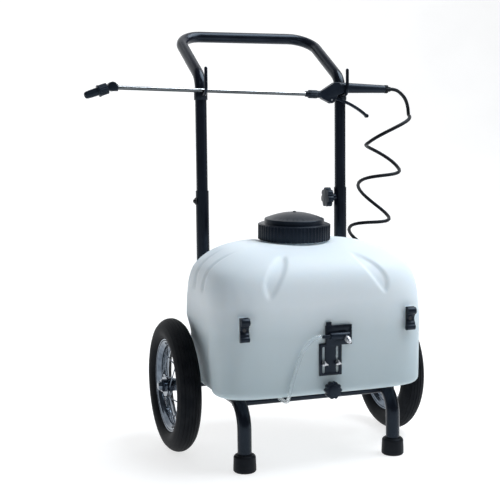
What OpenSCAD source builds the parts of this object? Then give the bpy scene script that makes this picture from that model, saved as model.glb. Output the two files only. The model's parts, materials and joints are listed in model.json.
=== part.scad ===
// Wheeled sprayer cart: a moulded tank on a two-wheeled tube frame, with a telescoping
// handle that carries a spray lance, a front fan nozzle and a 12 volt pump behind the tank.
// Millimetres. The cart faces -Y, +X is to the right seen from the front, +Z is up.

/* [Frame] */
// Distance between the centre lines of the two side tubes
frame_w = 368; // [350:1:376]
// Distance from the front legs to the uprights
frame_l = 295; // [288:1:310]
// Outside diameter of the side tubes
tube_d = 32; // [30:0.5:34]
// Wall thickness of the side tubes
tube_wall = 1.95; // [1.5:0.05:2.5]
// Bend radius from the front legs to the rails
front_bend_r = 60; // [50:1:75]
// Bend radius from the rails to the uprights
rear_bend_r = 70; // [60:1:75]
// Height of the open tops of the side tubes
sleeve_h = 615; // [560:1:640]
// Diameter of the cross tubes
cross_d = 18; // [16:0.5:18.5]
// Height of a rubber foot
foot_h = 39; // [34:1:44]
// Diameter of a rubber foot
foot_d = 52; // [46:1:58]

/* [Handle] */
// Height of the grip bar's centre line
bar_h = 1004; // [980:1:1040]
// How far the grip bar stands behind the uprights
bar_back = 203; // [190:1:225]
// Lean of the handle's upper part from vertical, in degrees
bar_lean = 60; // [56:1:64]
// Bend radius of the handle tube's corners
bar_corner_r = 62; // [50:1:75]
// Bend radius where the handle leans back
lean_bend_r = 50; // [40:1:60]
// Handle tube held inside the side tubes
slide_hold = 185; // [150:1:240]
// How far the handle slides down from its raised height
slide_travel = 180; // [120:1:200]

/* [Wheels] */
// Outside diameter of a tyre
wheel_d = 317; // [305:1:325]
// Width of a tyre
tyre_w = 57; // [50:0.5:58]
// Distance between the middles of the two tyres
track = 568; // [566:1:590]
// Outside diameter of the rim's flanges
rim_d = 224; // [214:1:232]
// Distance from the front legs to the axle
axle_y = 220; // [205:1:222]
// Diameter of the axle
axle_d = 14; // [12:0.5:16]
// Number of wire spokes in a wheel
spokes = 20; // [12:2:28]
// Diameter of a wire spoke
spoke_d = 2.6; // [2:0.1:3.2]

/* [Tank] */
// Width of the tank at its widest
tank_w = 498; // [480:1:500]
// Width of the tank at its base
tank_base_w = 476; // [460:1:480]
// Distance from the tank's front face to its back
tank_l = 328; // [318:1:332]
// Height of the tank up to its crown
tank_h = 335; // [320:1:345]
// Height above its base at which the tank's shoulders start
shoulder_h = 165; // [150:1:180]
// Wall thickness of the tank
tank_wall = 4; // [3:0.25:5]
// Forward slope of the tank's top, in degrees
top_slope = 3; // [0:0.5:4]
// Inside diameter of the filler neck
neck_bore = 148; // [130:1:150]
// Wall thickness of the filler neck
neck_wall = 5; // [4:0.5:6]
// Distance of the filler neck behind the middle of the tank
neck_back = 46; // [36:1:52]

/* [Cap] */
// Outside diameter of the cap's ribbed ring
cap_d = 172; // [168:1:178]
// Height of the cap's ribbed ring
cap_h = 37; // [30:1:42]
// Diameter of the raised dome on the cap
dome_d = 142; // [120:1:146]
// Height of the dome above the ring
dome_h = 27; // [18:1:30]
// Number of grip ribs round the cap
cap_ribs = 60; // [40:4:72]
// Wall thickness of the ribbed ring, over the ribs
cap_wall = 3.4; // [3:0.2:3.6]

/* [Lance and gun] */
// Diameter of the lance tube
lance_d = 10; // [9:0.5:11]
// Length of the lance tube to the left of the left hook
lance_reach = 214; // [180:1:240]
// Downward slope of the lance from nozzle to gun, in degrees
lance_slope = 1.5; // [0:0.25:2.5]
// Distance from the left hook to the gun's collar nut
gun_start = 262; // [254:1:266]
// Length of the gun's grip behind the right hook
grip_l = 110; // [100:1:118]
// Thickness of the gun from front to back
gun_t = 22; // [20:0.5:23]
// Droop of the spray head from the lance, in degrees
head_droop = 20; // [0:1:35]

/* [Front spray bracket] */
// Width of the slotted plate
plate_w = 54; // [50:1:60]
// Height of the slotted plate
plate_h = 72; // [66:1:76]
// Thickness of the slotted plate
plate_t = 3; // [2.5:0.25:4]
// Length of the adjusting slots
slot_l = 60; // [54:1:62]
// Width of the adjusting slots
slot_w = 6.6; // [6.2:0.1:7]
// Distance between the two slots
slot_gap = 33; // [31:1:36]
// Diameter of the drain knob
drain_d = 42; // [36:1:44]

/* [Pump unit] */
// Width of the pump cover
cover_w = 296; // [280:1:300]
// Depth of the pump cover
cover_l = 112; // [108:1:120]
// Height of the pump cover
cover_h = 125; // [118:1:140]
// Wall thickness of the pump cover
cover_wall = 3; // [2.5:0.25:4]

/* [Hoses] */
// Outside diameter of the curly lance hose
hose_d = 9; // [8:0.5:9.5]
// Radius of the hose's curls, to the middle of the hose
curl_r = 48; // [42:1:50]
// Outside diameter of the clear feed hose
feed_d = 9; // [8:0.5:9]

/* [Clearances] */
// Radial gap between the handle tube and the side tubes
slide_gap = 0.05; // [0.02:0.01:0.1]
// Radial gap of every turning fit
turn_gap = 0.05; // [0.02:0.01:0.1]
// Gap between faces that only lie against each other
seat_gap = 0.3; // [0.2:0.05:0.4]
// Gap left at a weld
weld_gap = 0.1; // [0.05:0.05:0.2]

/* [Hidden] */
$fn = 48;
eps = 0.01;

// Frame
handle_d = tube_d - 2 * tube_wall - 2 * slide_gap;
axle_h = wheel_d / 2;
axle_lift = 4.5;
rail_h = axle_h - axle_lift;
side_x = frame_w / 2;
cross_y = 0.75 * front_bend_r;
rear_cross_h = rail_h + rear_bend_r;
foot_floor = 8;

// Wheels
hub_l = tyre_w + 4;
cap_face = track / 2 + hub_l / 2 + 1.5;
rim_r = rim_d / 2;
channel = tyre_w / 2 - 4.5;
bush_r = axle_d / 2 + 3;
well_r = rim_r - 17.5;
flange_r = 27;
flange_t = 3;
flange_x = hub_l / 2 - 9;

// Tank
saddle = 5;
tank_base = rail_h + tube_d / 2 + seat_gap - saddle;
tank_back = frame_l - tube_d / 2 - 6;
tank_front = tank_back - tank_l;
tank_mid = (tank_front + tank_back) / 2;
tank_top = tank_base + tank_h;
base_r = 12;
neck_y = tank_mid + neck_back;
neck_h = tank_top + 2;
cross_h = tank_base - 10.3 - cross_d / 2;
neck_r = neck_bore / 2 + neck_wall;
neck_depth = 12;
seam_z = tank_base + 134;
rim_z = cap_h - 5.4;
suction_x = 106;
suction_z = tank_base + 31;
bolt_ys = [tank_mid - 40, tank_mid + 62];
bolt_r = 3;
clip_x = 200;
clip_w = 20;
clip_l = 54;
clip_h = tank_base + 164;
pad_y = tank_front + 8;

// Handle
bar_y = frame_l + bar_back;
lean_z = bar_h - bar_back / tan(bar_lean);
lean_run = lean_bend_r * tan(bar_lean / 2);
handle_end = sleeve_h - slide_hold;
knob_z = sleeve_h - 25;

// Lance
prong_d = 8;
hook_gap = gun_t + 2;
hook_r = hook_gap / 2 + prong_d / 2;
lance_y = frame_l - handle_d / 2 - 2.5 - hook_gap / 2;
hook_z = 846;
lance_z = hook_z + prong_d / 2 + lance_d / 2 + seat_gap;
prong_top = 911;
band_h = 24;
gun_end = frame_w + grip_l;
grip_low = frame_w * tan(lance_slope) - lance_d / 2;
grip_mid = grip_low + 14;
elbow_run = 9;
elbow = [-lance_reach - elbow_run, 0, 2];
pin_r = 2.5;
pivot = [gun_start + 68, -13];

// Front bracket
plate_y = tank_front - seat_gap - plate_t;
nozzle_x = 30;
nozzle_y = plate_y - 4 - seat_gap - 7.5;
tip_droop = 25;
tip_l = 27;
stud_z = tank_base + 78;
stud_r = 3;
plate_z = tank_base + 50;
holder_z = plate_z + plate_h + 18;
holder_size = [62, plate_t + 4, 44];
holder_lap = 12;
drain_z = tank_base + 19;
drain_reach = 4;

// Pump unit
tray_t = 3;
tray_z = tank_base + 11;
tray_y = frame_l + cross_d / 2 + seat_gap;
cover_y = tray_y + tray_t + 1.5;
cover_z = tray_z + tray_t + seat_gap;
outlet_z = cover_z + 46;
outlet_y = cover_y + cover_l / 2;
tee_x = cover_w / 2 + 24;
switch_x = 56 - cover_w / 2;
battery_size = [134, 66, 94];
motor_r = 29;
motor_end = 82;
motor_foot = [56, 48, 12];
head_size = [52, 72, 60];
switch_z = cover_z + cover_h - 42;

// The middle of the floor that the cart covers is the origin. The lance reaches past the
// left wheel, so the cart's own middle lies to the right of it.
head_l = 68;
drop = head_droop - lance_slope;
reach_left = side_x + (lance_reach + elbow_run) * cos(lance_slope) + head_l * cos(drop)
    + 5.5 * sin(drop);
reach_right = cap_face + 7.5;
reach_front = nozzle_y - tip_l * cos(tip_droop) - 5 * sin(tip_droop);
cart_x = (reach_left - reach_right) / 2;
cart_y = -(reach_front + bar_y + handle_d / 2) / 2;

// ---------------------------------------------------------------- helpers

module place() {
    translate([cart_x, cart_y, 0]) children();
}

module both_sides() {
    children();
    mirror([1, 0, 0]) children();
}

module x_rod(r, x0, x1) {
    translate([x0, 0, 0]) rotate([0, 90, 0]) cylinder(r = r, h = x1 - x0);
}

module y_rod(r, y0, y1) {
    translate([0, y1, 0]) rotate([90, 0, 0]) cylinder(r = r, h = y1 - y0);
}

module pipe(r_out, r_in, h) {
    difference() {
        cylinder(r = r_out, h = h);
        translate([0, 0, -1]) cylinder(r = r_in, h = h + 2);
    }
}

// A bar with a rounded-rectangle section, its corners true arcs
module round_slab(size, r) {
    x = size[0] / 2 - r;
    y = size[1] / 2 - r;
    linear_extrude(height = size[2]) {
        square([size[0], 2 * y], center = true);
        square([2 * x, size[1]], center = true);
        for (sx = [-1, 1], sy = [-1, 1]) translate([sx * x, sy * y]) circle(r = r);
    }
}

// A knob with lobes round its rim, standing on z = 0
module lobed_knob(d, h, lobes, lobe_r) {
    linear_extrude(height = h) {
        circle(d = d - 1.2 * lobe_r);
        for (i = [0:lobes - 1])
            rotate(360 * i / lobes) translate([d / 2 - lobe_r, 0]) circle(r = lobe_r, $fn = 24);
    }
}

// Tube round a list of points. Each ring lies square to the run of the route there.
function unit(v) = v / norm(v);
function heading(p, i) =
    let (n = len(p) - 1)
    unit(p[min(i + 1, n)] - p[max(i - 1, 0)]);
function carried(p, i) =
    i == 0 ? unit(cross(heading(p, 0), abs(heading(p, 0)[2]) > 0.9 ? [1, 0, 0] : [0, 0, 1]))
    : let (t = heading(p, i), a = carried(p, i - 1)) unit(a - (a * t) * t);
function side_list(p) = [
    for (i = 0, a = carried(p, 0); i < len(p); i = i + 1,
        a = i < len(p) ? unit(a - (a * heading(p, i)) * heading(p, i)) : a) a
];

function tube_points(p, d, sides) =
    let (a = side_list(p))
    [
        for (i = [0:len(p) - 1], k = [0:sides - 1])
            let (b = cross(heading(p, i), a[i]), w = 360 * k / sides)
            p[i] + d / 2 * (cos(w) * a[i] + sin(w) * b)
    ];
function wall_faces(rings, sides, at) = [
    for (i = [0:rings - 2], k = [0:sides - 1])
        let (j = (k + 1) % sides, q = at + i * sides)
        each [[q + k, q + sides + k, q + j], [q + j, q + sides + k, q + sides + j]]
];

module swept_tube(p, d, sides) {
    last = (len(p) - 1) * sides;
    ends = [
        for (k = [1:sides - 2]) each [[0, k, k + 1], [last, last + k + 1, last + k]]
    ];
    polyhedron(tube_points(p, d, sides), concat(wall_faces(len(p), sides, 0), ends),
        convexity = 8);
}

// The same with a bore right through it
module swept_pipe(p, d_out, d_in, sides) {
    n = len(p) * sides;
    last = n - sides;
    inner = [for (f = wall_faces(len(p), sides, n)) [f[0], f[2], f[1]]];
    ends = [
        for (k = [0:sides - 1])
            let (j = (k + 1) % sides)
            each [[k, j, n + k], [j, n + j, n + k],
                [last + j, last + k, n + last + k], [last + j, n + last + k, n + last + j]]
    ];
    polyhedron(concat(tube_points(p, d_out, sides), tube_points(p, d_in, sides)),
        concat(wall_faces(len(p), sides, 0), inner, ends), convexity = 8);
}

// A smooth route through hand-chosen points, with so many steps in each span
function spline(p, steps) = [
    for (i = [0:len(p) - 2], s = [0:steps - 1])
        let (t = s / steps, a = p[max(i - 1, 0)], b = p[i], c = p[i + 1],
            d = p[min(i + 2, len(p) - 1)])
        0.5 * ((2 * b) + (c - a) * t + (2 * a - 5 * b + 4 * c - d) * t * t
            + (3 * b - a - 3 * c + d) * t * t * t),
    p[len(p) - 1]
];
function route_length(p) = len(p) < 2 ? 0 :
    let (steps = [for (i = [1:len(p) - 1]) norm(p[i] - p[i - 1])])
    steps * [for (s = steps) 1];

// ---------------------------------------------------------------- frame

// The bent line of one side: leg, front bend, rail, rear bend and upright
module side_line(d, over) {
    translate([0, 0, foot_floor - over]) cylinder(d = d, h = rail_h - front_bend_r - foot_floor + over);
    translate([0, front_bend_r, rail_h - front_bend_r])
        rotate([90, 0, 90]) rotate([0, 0, 90]) rotate_extrude(angle = 90)
            translate([front_bend_r, 0]) circle(d = d);
    translate([0, 0, rail_h]) y_rod(d / 2, front_bend_r, frame_l - rear_bend_r);
    translate([0, frame_l - rear_bend_r, rail_h + rear_bend_r])
        rotate([90, 0, 90]) rotate([0, 0, -90]) rotate_extrude(angle = 90)
            translate([rear_bend_r, 0]) circle(d = d);
    translate([0, frame_l, rail_h + rear_bend_r])
        cylinder(d = d, h = sleeve_h - rail_h - rear_bend_r + over);
}

module side_tube(side) {
    color([0.09, 0.09, 0.1])
    translate([side * side_x, 0, 0])
    difference() {
        side_line(tube_d, 0);
        side_line(tube_d - 2 * tube_wall, 1);
        translate([0, axle_y, axle_h]) x_rod(axle_d / 2 + turn_gap, -tube_d, tube_d);
        translate([0, frame_l, knob_z]) x_rod(4 + turn_gap, -tube_d, 0);
        for (y = bolt_ys) translate([0, y, 0]) cylinder(r = bolt_r + 0.3, h = rail_h + tube_d);
    }
}

module cross_tube(y, z, holes) {
    color([0.09, 0.09, 0.1])
    difference() {
        translate([0, y, z]) difference() {
            x_rod(cross_d / 2, -side_x, side_x);
            x_rod(cross_d / 2 - 1.5, -side_x - 1, side_x + 1);
        }
        both_sides() translate([-side_x, 0, 0]) side_line(tube_d + 2 * weld_gap, 0);
        for (x = holes) translate([x, 0, z]) y_rod(3.1, y - cross_d, y + cross_d);
    }
}

module rubber_feet() {
    color([0.07, 0.07, 0.07])
    both_sides() translate([side_x, 0, 0]) difference() {
        union() {
            rotate_extrude() polygon([
                [0, 0], [foot_d / 2 - 3, 0], [foot_d / 2, 3], [foot_d / 2, 10],
                [foot_d / 2 - 1, foot_h - 4], [foot_d / 2 - 4, foot_h], [0, foot_h]
            ]);
            translate([0, 0, foot_h - eps]) cylinder(r = tube_d / 2 + 3, h = 2);
        }
        translate([0, 0, foot_floor - seat_gap]) cylinder(d = tube_d + 2 * weld_gap, h = foot_h);
    }
}

// ---------------------------------------------------------------- wheels

module axle() {
    color([0.62, 0.63, 0.65])
    translate([0, axle_y, axle_h]) x_rod(axle_d / 2, -cap_face - 6, cap_face + 6);
}

module axle_spacers() {
    color([0.08, 0.08, 0.08])
    translate([0, axle_y, axle_h]) both_sides() difference() {
        x_rod(10.5, side_x + tube_d / 2 + seat_gap, track / 2 - hub_l / 2 - seat_gap);
        x_rod(axle_d / 2 + turn_gap, side_x, track / 2);
    }
}

module axle_caps() {
    color([0.8, 0.8, 0.82])
    translate([0, axle_y, axle_h]) both_sides() difference() {
        union() {
            x_rod(13, track / 2 + hub_l / 2 + seat_gap, cap_face + 0.5);
            x_rod(10.5, cap_face, cap_face + 5);
            translate([cap_face + 5 - eps, 0, 0]) rotate([0, 90, 0])
                cylinder(r1 = 10.5, r2 = 8, h = 2.5);
        }
        x_rod(axle_d / 2 + turn_gap, track / 2, cap_face + 6 + turn_gap);
    }
}

module rim(side) {
    color([0.82, 0.83, 0.85])
    translate([side * track / 2, axle_y, axle_h]) rotate([0, 90, 0]) rotate_extrude($fn = 96) polygon([
        [rim_r, channel + 1.5], [rim_r, channel - 1], [rim_r - 9, channel - 3],
        [rim_r - 11, 12], [rim_r - 15, 8], [rim_r - 15, -8], [rim_r - 11, -12],
        [rim_r - 9, 3 - channel], [rim_r, 1 - channel], [rim_r, -1.5 - channel],
        [rim_r - 12, -0.5 - channel], [rim_r - 14, -14], [well_r, -10],
        [well_r, 10], [rim_r - 14, 14], [rim_r - 12, channel + 0.5]
    ]);
}

module hub(side) {
    color([0.82, 0.83, 0.85])
    translate([side * track / 2, axle_y, axle_h]) difference() {
        union() {
            x_rod(15, -hub_l / 2, hub_l / 2);
            for (s = [-1, 1]) translate([s * flange_x, 0, 0]) x_rod(flange_r, -flange_t / 2, flange_t / 2);
        }
        x_rod(bush_r, -hub_l, hub_l);
    }
}

// Crossed wire spokes. Those that lead lie on the flange's outer face and those that trail
// on its inner face, so two spokes pass each other without touching.
module wire_spokes(side) {
    lead = 52;
    hold_r = flange_r - 0.8;
    seat = (flange_t + spoke_d) / 2 + 2 * seat_gap;
    color([0.82, 0.83, 0.85])
    translate([side * track / 2, axle_y, axle_h]) for (i = [0:spokes - 1]) {
        s = i % 2 == 0 ? 1 : -1;
        way = floor(i / 2) % 2 == 0 ? 1 : -1;
        a = 360 * i / spokes;
        rod_between(
            [s * (flange_x + way * seat), hold_r * cos(a - way * lead), hold_r * sin(a - way * lead)],
            [s * 5, (well_r - 2 * seat_gap) * cos(a), (well_r - 2 * seat_gap) * sin(a)],
            spoke_d / 2);
    }
}

module rod_between(a, b, r) {
    v = b - a;
    translate(a) rotate([0, acos(v[2] / norm(v)), atan2(v[1], v[0])])
        cylinder(r = r, h = norm(v), $fn = 16);
}

module hub_bushes(side) {
    color([0.9, 0.9, 0.86])
    translate([side * track / 2, axle_y, axle_h]) for (s = [-1, 1]) difference() {
        union() {
            x_rod(bush_r - 0.02, min(s * hub_l / 2, s * (hub_l / 2 - 14)),
                max(s * hub_l / 2, s * (hub_l / 2 - 14)));
        }
        x_rod(axle_d / 2 + turn_gap, -hub_l, hub_l);
    }
}

module tyre(side) {
    sec = tyre_w / 2;
    mid = wheel_d / 2 - sec;
    color([0.05, 0.05, 0.05])
    translate([side * track / 2, axle_y, axle_h]) rotate([0, 90, 0])
    rotate_extrude($fn = 96) difference() {
        union() {
            translate([mid, 0]) circle(r = sec);
            polygon([[rim_r - 10, 3.4 - channel], [rim_r + 2, 1.6 - channel],
                [rim_r + 2, channel - 1.6], [rim_r - 10, channel - 3.4]]);
        }
        translate([mid - 1, 0]) circle(r = sec - 5.5);
        polygon([[0, -sec - 1], [rim_r + 0.2, -sec - 1], [rim_r + 0.2, 1.2 - channel],
            [rim_r - 9, 3.2 - channel], [rim_r - 9, channel - 3.2], [rim_r + 0.2, channel - 1.2],
            [rim_r + 0.2, sec + 1], [0, sec + 1]]);
        for (x = [-9, 0, 9]) translate([wheel_d / 2 - 2.4, x - 1]) square([4, 2]);
    }
}

// ---------------------------------------------------------------- tank

function signed(v, e) = (v < 0 ? -1 : 1) * pow(abs(v), e);

// One level of the tank: half width, half length front and back, and height. The top
// slopes forward, so the shoulders rise and fall with the distance from the middle.
function tank_point(w, front, back, n, z, rise, a) =
    let (y = signed(sin(a), 2 / n) * (sin(a) < 0 ? front : back))
    [w * signed(cos(a), 2 / n), y, z + rise * tan(top_slope) * y];
function tank_ring(w, front, back, n, z, rise, count) = [
    for (k = [0:count - 1]) tank_point(w, front, back, n, z, rise, 360 * k / count)
];

// A point of the shoulders, at b degrees up from their foot and a degrees round
function shoulder(b, a, inset = 0) =
    let (s = pow(sin(b), 2 / 3.4), half = tank_l / 2 - inset)
    tank_point((tank_w / 2 - inset) * pow(cos(b), 2 / 3.4), half * pow(cos(b), 2 / 2.2),
        half * pow(cos(b), 2 / 3.2), 5 - 2 * s,
        shoulder_h + (tank_h - inset - shoulder_h) * s, s, a);
function outward(b, a) =
    unit(cross(shoulder(b, a + 1) - shoulder(b, a - 1), shoulder(b + 1, a) - shoulder(b - 1, a)));

// The moulding's form, drawn in by a wall: rounded base, upright sides, full shoulders.
// The low part leaves out the shoulders, and the high part leaves out the base.
module tank_form(inset, count, high) {
    w = tank_w / 2 - inset;
    base_w = tank_base_w / 2 - inset;
    half = tank_l / 2 - inset;
    r = base_r - inset;
    foot = inset + r;
    base = [
        for (a = [0, 30, 60, 90])
            let (in = r * (1 - sin(a)))
            tank_ring(base_w - in, half - in, half - in, 6, foot - r * cos(a), 0, count)
    ];
    sides = [
        for (t = [0.5, 1])
            tank_ring(base_w + (w - base_w) * t, half, half, 6 - t, foot + (shoulder_h - foot) * t,
                0, count)
    ];
    shoulders = [
        for (b = [4, 9, 16, 25, 35, 46, 57, 67, 76, 83, 87.5])
            [for (k = [0:count - 1]) shoulder(b, 360 * k / count, inset)]
    ];
    rings = high ? concat(sides, shoulders) : concat(base, sides);
    points = [for (ring = rings) each ring];
    last = (len(rings) - 1) * count;
    walls = [
        for (i = [0:len(rings) - 2], k = [0:count - 1])
            let (j = (k + 1) % count, q = i * count)
            each [[q + k, q + count + k, q + j], [q + j, q + count + k, q + count + j]]
    ];
    ends = [[for (k = [0:count - 1]) k], [for (k = [0:count - 1]) last + count - 1 - k]];
    translate([0, tank_mid, tank_base]) polyhedron(points, concat(walls, ends), convexity = 4);
}

// A leaf-shaped trough down each front shoulder: level, direction, radius and depth
troughs = [[54, 289, 24, 2.5], [31, 291, 34, 3.5], [12, 287.5, 7, 1.5]];
module shoulder_trough(side, grow) {
    translate([0, tank_mid, tank_base]) mirror([side < 0 ? 1 : 0, 0, 0]) hull()
        for (q = troughs)
            translate(shoulder(q[0], q[1]) + (q[2] - q[3]) * outward(q[0], q[1]))
                sphere(r = q[2] + grow, $fn = 28);
}

// Channels in the tank's floor: one over each rail, and one across for the axle
module floor_channels(grow) {
    w = tube_d + 1 + 2 * grow;
    h = saddle + 1 + grow;
    both_sides() translate([side_x - w / 2, -18 - grow, tank_base - 1])
        cube([w, tank_back + 20, h]);
    translate([-tank_w / 2, axle_y - 14 - grow, tank_base - 1]) cube([tank_w, 28 + 2 * grow, h]);
    both_sides() difference() {
        translate([side_x - w / 2, frame_l - rear_bend_r, tank_base - 1])
            cube([w, tank_back + 2 - frame_l + rear_bend_r, rear_bend_r - saddle]);
        translate([0, frame_l - rear_bend_r, rail_h + rear_bend_r])
            x_rod(rear_bend_r - tube_d / 2 - seat_gap - grow, side_x - w, side_x + w);
    }
}

module neck_frame() {
    translate([0, neck_y, neck_h]) rotate([top_slope, 0, 0]) children();
}

// What lies on one side of the cart's middle, and above or below the moulding's seam
module quarter(side, high) {
    translate([side < 0 ? -tank_w : 0, tank_front - tank_l, high ? seam_z : 0])
        cube([tank_w, 3 * tank_l, high ? tank_top : seam_z]);
}

// A quarter of the moulded shell below its seam, with the floor's channels and every bore
module tank_lower(side) {
    color([0.9, 0.93, 0.95])
    intersection() {
        difference() {
            union() {
                difference() {
                    tank_form(0, 48, false);
                    difference() {
                        tank_form(tank_wall, 40, false);
                        for (y = bolt_ys)
                            translate([side * side_x, y, 0]) cylinder(r = 14, h = tank_base + 29);
                        floor_channels(tank_wall);
                        translate([side * slot_gap / 2, 0, stud_z])
                            y_rod(9, tank_front - 1, tank_front + 18);
                        translate([0, 0, drain_z]) y_rod(15, tank_front - 1, tank_front + 20);
                        translate([suction_x, 0, suction_z])
                            y_rod(15, tank_back - 12, tank_back + 1);
                    }
                }
                translate([0, 0, drain_z]) y_rod(13, tank_front - drain_reach, tank_front + 16);
            }
            floor_channels(0);
            translate([0, 0, drain_z]) y_rod(8, tank_front - drain_reach - 1, tank_front + 30);
            translate([suction_x, 0, suction_z]) y_rod(8.2, tank_back - 13, tank_back + 10);
            for (y = bolt_ys)
                translate([side * side_x, y, 0]) cylinder(r = bolt_r + 0.02, h = tank_base + 24);
            translate([side * slot_gap / 2, 0, stud_z])
                y_rod(stud_r + 0.02, tank_front - 5, tank_front + 14);
        }
        quarter(side, false);
    }
}

// A quarter above the seam, with the leaf-shaped trough, the clip's pad and the neck's hole
module tank_upper(side) {
    color([0.9, 0.93, 0.95])
    intersection() {
        difference() {
            union() {
                difference() {
                    tank_form(0, 48, true);
                    difference() {
                        tank_form(tank_wall, 40, true);
                        shoulder_trough(side, tank_wall);
                    }
                }
                translate([side * clip_x - clip_w / 2, pad_y - 2, clip_h - clip_l / 2])
                    cube([clip_w, 13, clip_l]);
            }
            shoulder_trough(side, 0);
            neck_frame() translate([0, 0, -50]) cylinder(r = neck_r + weld_gap, h = 90);
            translate([side * clip_x, 0, clip_h]) y_rod(2.02, pad_y - 20, pad_y + 7);
        }
        quarter(side, true);
    }
}

module filler_neck() {
    color([0.9, 0.93, 0.95])
    neck_frame() translate([0, 0, -neck_depth]) pipe(neck_r, neck_bore / 2, neck_depth + rim_z);
}

// Hex bolts: four up through the side tubes into the tank, two through the rear cross tube
module frame_bolts() {
    bottom = rail_h - tube_d / 2 - seat_gap;
    head = frame_l - cross_d / 2 - seat_gap;
    color([0.75, 0.76, 0.78]) {
        both_sides() for (y = bolt_ys) translate([side_x, y, 0]) {
            translate([0, 0, bottom - 4]) cylinder(r = 5.8, h = 4, $fn = 6);
            translate([0, 0, bottom - 4 + eps]) cylinder(r = bolt_r, h = tank_base + 22 - bottom);
        }
        for (x = [-45, 45]) translate([x, 0, rear_cross_h]) {
            y_rod(3, head - 2, tray_y + tray_t);
            translate([0, head, 0]) rotate([90, 0, 0]) cylinder(r = 5.8, h = 4, $fn = 6);
        }
    }
}

module cap_gasket() {
    color([0.12, 0.12, 0.13])
    neck_frame() translate([0, 0, rim_z + seat_gap])
        pipe(neck_r - 0.5, neck_bore / 2 + 0.5, cap_h - 3 - rim_z - 2 * seat_gap);
}

module filler_cap() {
    r = cap_d / 2;
    skirt_r = max(neck_r + 0.5, r - cap_wall);
    lid_r = skirt_r - weld_gap;
    dome_r = dome_d / 2;
    step = dome_h * 0.45;
    crown = [for (a = [0:15:90]) [dome_r - 3 + 3 * cos(a), cap_h + step - 3 + 3 * sin(a)]];
    color([0.05, 0.05, 0.06])
    neck_frame() {
        linear_extrude(height = cap_h - 1.5) difference() {
            union() {
                circle(r = r - 1.2, $fn = 96);
                for (i = [0:cap_ribs - 1])
                    rotate(360 * i / cap_ribs) translate([r - 1.8, 0]) circle(r = 1.8, $fn = 16);
            }
            circle(r = skirt_r, $fn = 96);
        }
        difference() {
            union() {
                rotate_extrude($fn = 96) polygon(concat(
                    [[0, cap_h - 3], [lid_r, cap_h - 3], [lid_r, cap_h - 0.8],
                        [lid_r - 0.8, cap_h], [dome_r, cap_h]],
                    [for (p = crown) p],
                    [for (t = [0.8, 0.6, 0.4, 0.2, 0])
                        [(dome_r - 3) * t, cap_h + step + (dome_h - step) * (1 - t * t)]]
                ));
                translate([0, 0, cap_h + dome_h - 1]) cylinder(r = 3.5, h = 3);
            }
            rotate_extrude($fn = 96) polygon(concat(
                [[0, cap_h - 5], [dome_r - 3, cap_h - 5], [dome_r - 3, cap_h + step - 4]],
                [for (t = [0.8, 0.6, 0.4, 0.2, 0])
                    [(dome_r - 4) * t, cap_h + step - 3 + (dome_h - step) * (1 - t * t)]]
            ));
        }
    }
}

// A spring clip that would hold the lance: base plate, upper hook, hollow and lower lip
module lance_clips() {
    color([0.06, 0.06, 0.07])
    both_sides() translate([clip_x, pad_y - 2 - seat_gap, clip_h]) difference() {
        translate([-clip_w / 2, 0, 0]) rotate([90, 0, 90]) linear_extrude(height = clip_w) difference() {
            union() {
                translate([-4, -clip_l / 2]) square([4, clip_l]);
                translate([-8.5, clip_l / 3]) circle(r = 8.5);
                translate([-6, -0.37 * clip_l]) circle(r = 6.5);
                translate([-9, -0.37 * clip_l]) square([9, 0.74 * clip_l]);
            }
            translate([-15, -1]) circle(r = 10);
            translate([0, -30]) square([30, 60]);
        }
        y_rod(2.1, -20, 1);
        y_rod(4.5, -20, -4.1);
    }
}

// ---------------------------------------------------------------- handle

// Right half of the handle's bent upper part: up from the upright, back, round to the bar
lean_dir = [0, sin(bar_lean), cos(bar_lean)];
lean_foot = lean_z - lean_run;
bar_run = bar_back / sin(bar_lean) - bar_corner_r;
handle_half = concat(
    [[side_x, frame_l, lean_foot - 6], [side_x, frame_l, lean_foot - 2]],
    [for (a = [0:10:bar_lean])
        [side_x, frame_l + lean_bend_r * (1 - cos(a)), lean_foot + lean_bend_r * sin(a)]],
    [for (a = [0:10:90])
        [side_x - bar_corner_r * (1 - cos(a)), frame_l, lean_z]
            + (bar_run + bar_corner_r * sin(a)) * lean_dir]
);
handle_route = concat(
    handle_half,
    [for (i = [len(handle_half) - 1:-1:0])
        [-handle_half[i][0], handle_half[i][1], handle_half[i][2]]]
);

module handle_tube() {
    bore = handle_d - 3.6;
    color([0.08, 0.08, 0.09]) {
        both_sides() translate([side_x, frame_l, handle_end])
            pipe(handle_d / 2, bore / 2, lean_foot - 2.5 - handle_end);
        swept_pipe(handle_route, handle_d - 0.1, bore + 0.5, 20);
    }
}

// Band round the upright with an upturned prong in front, open at the top
module lance_hooks() {
    color([0.06, 0.06, 0.07])
    both_sides() translate([side_x, 0, hook_z]) difference() {
        union() {
            translate([0, frame_l, -band_h / 2]) cylinder(r = handle_d / 2 + 2.5, h = band_h);
            y_rod(prong_d / 2, lance_y, frame_l - handle_d / 2 - 1);
            translate([0, lance_y, hook_r]) rotate([90, 0, 90]) rotate([0, 0, 180])
                rotate_extrude(angle = 90) translate([hook_r, 0]) circle(d = prong_d);
            translate([0, lance_y - hook_r, hook_r]) {
                cylinder(d = prong_d, h = prong_top - hook_z - hook_r - prong_d / 2);
                translate([0, 0, prong_top - hook_z - hook_r - prong_d / 2]) sphere(d = prong_d);
            }
        }
        translate([0, frame_l, -band_h]) cylinder(r = handle_d / 2 + weld_gap, h = 2 * band_h);
    }
}

module at_knob(side) {
    translate([side * side_x, frame_l, knob_z]) children();
}

module knob_boss() {
    color([0.09, 0.09, 0.1])
    difference() {
        at_knob(1) x_rod(9, -tube_d / 2 - 6, -tube_d / 2 + 4);
        translate([side_x, 0, 0]) side_line(tube_d + 2 * weld_gap, 0);
        at_knob(1) x_rod(4 + turn_gap, -tube_d, 0);
    }
}

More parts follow.
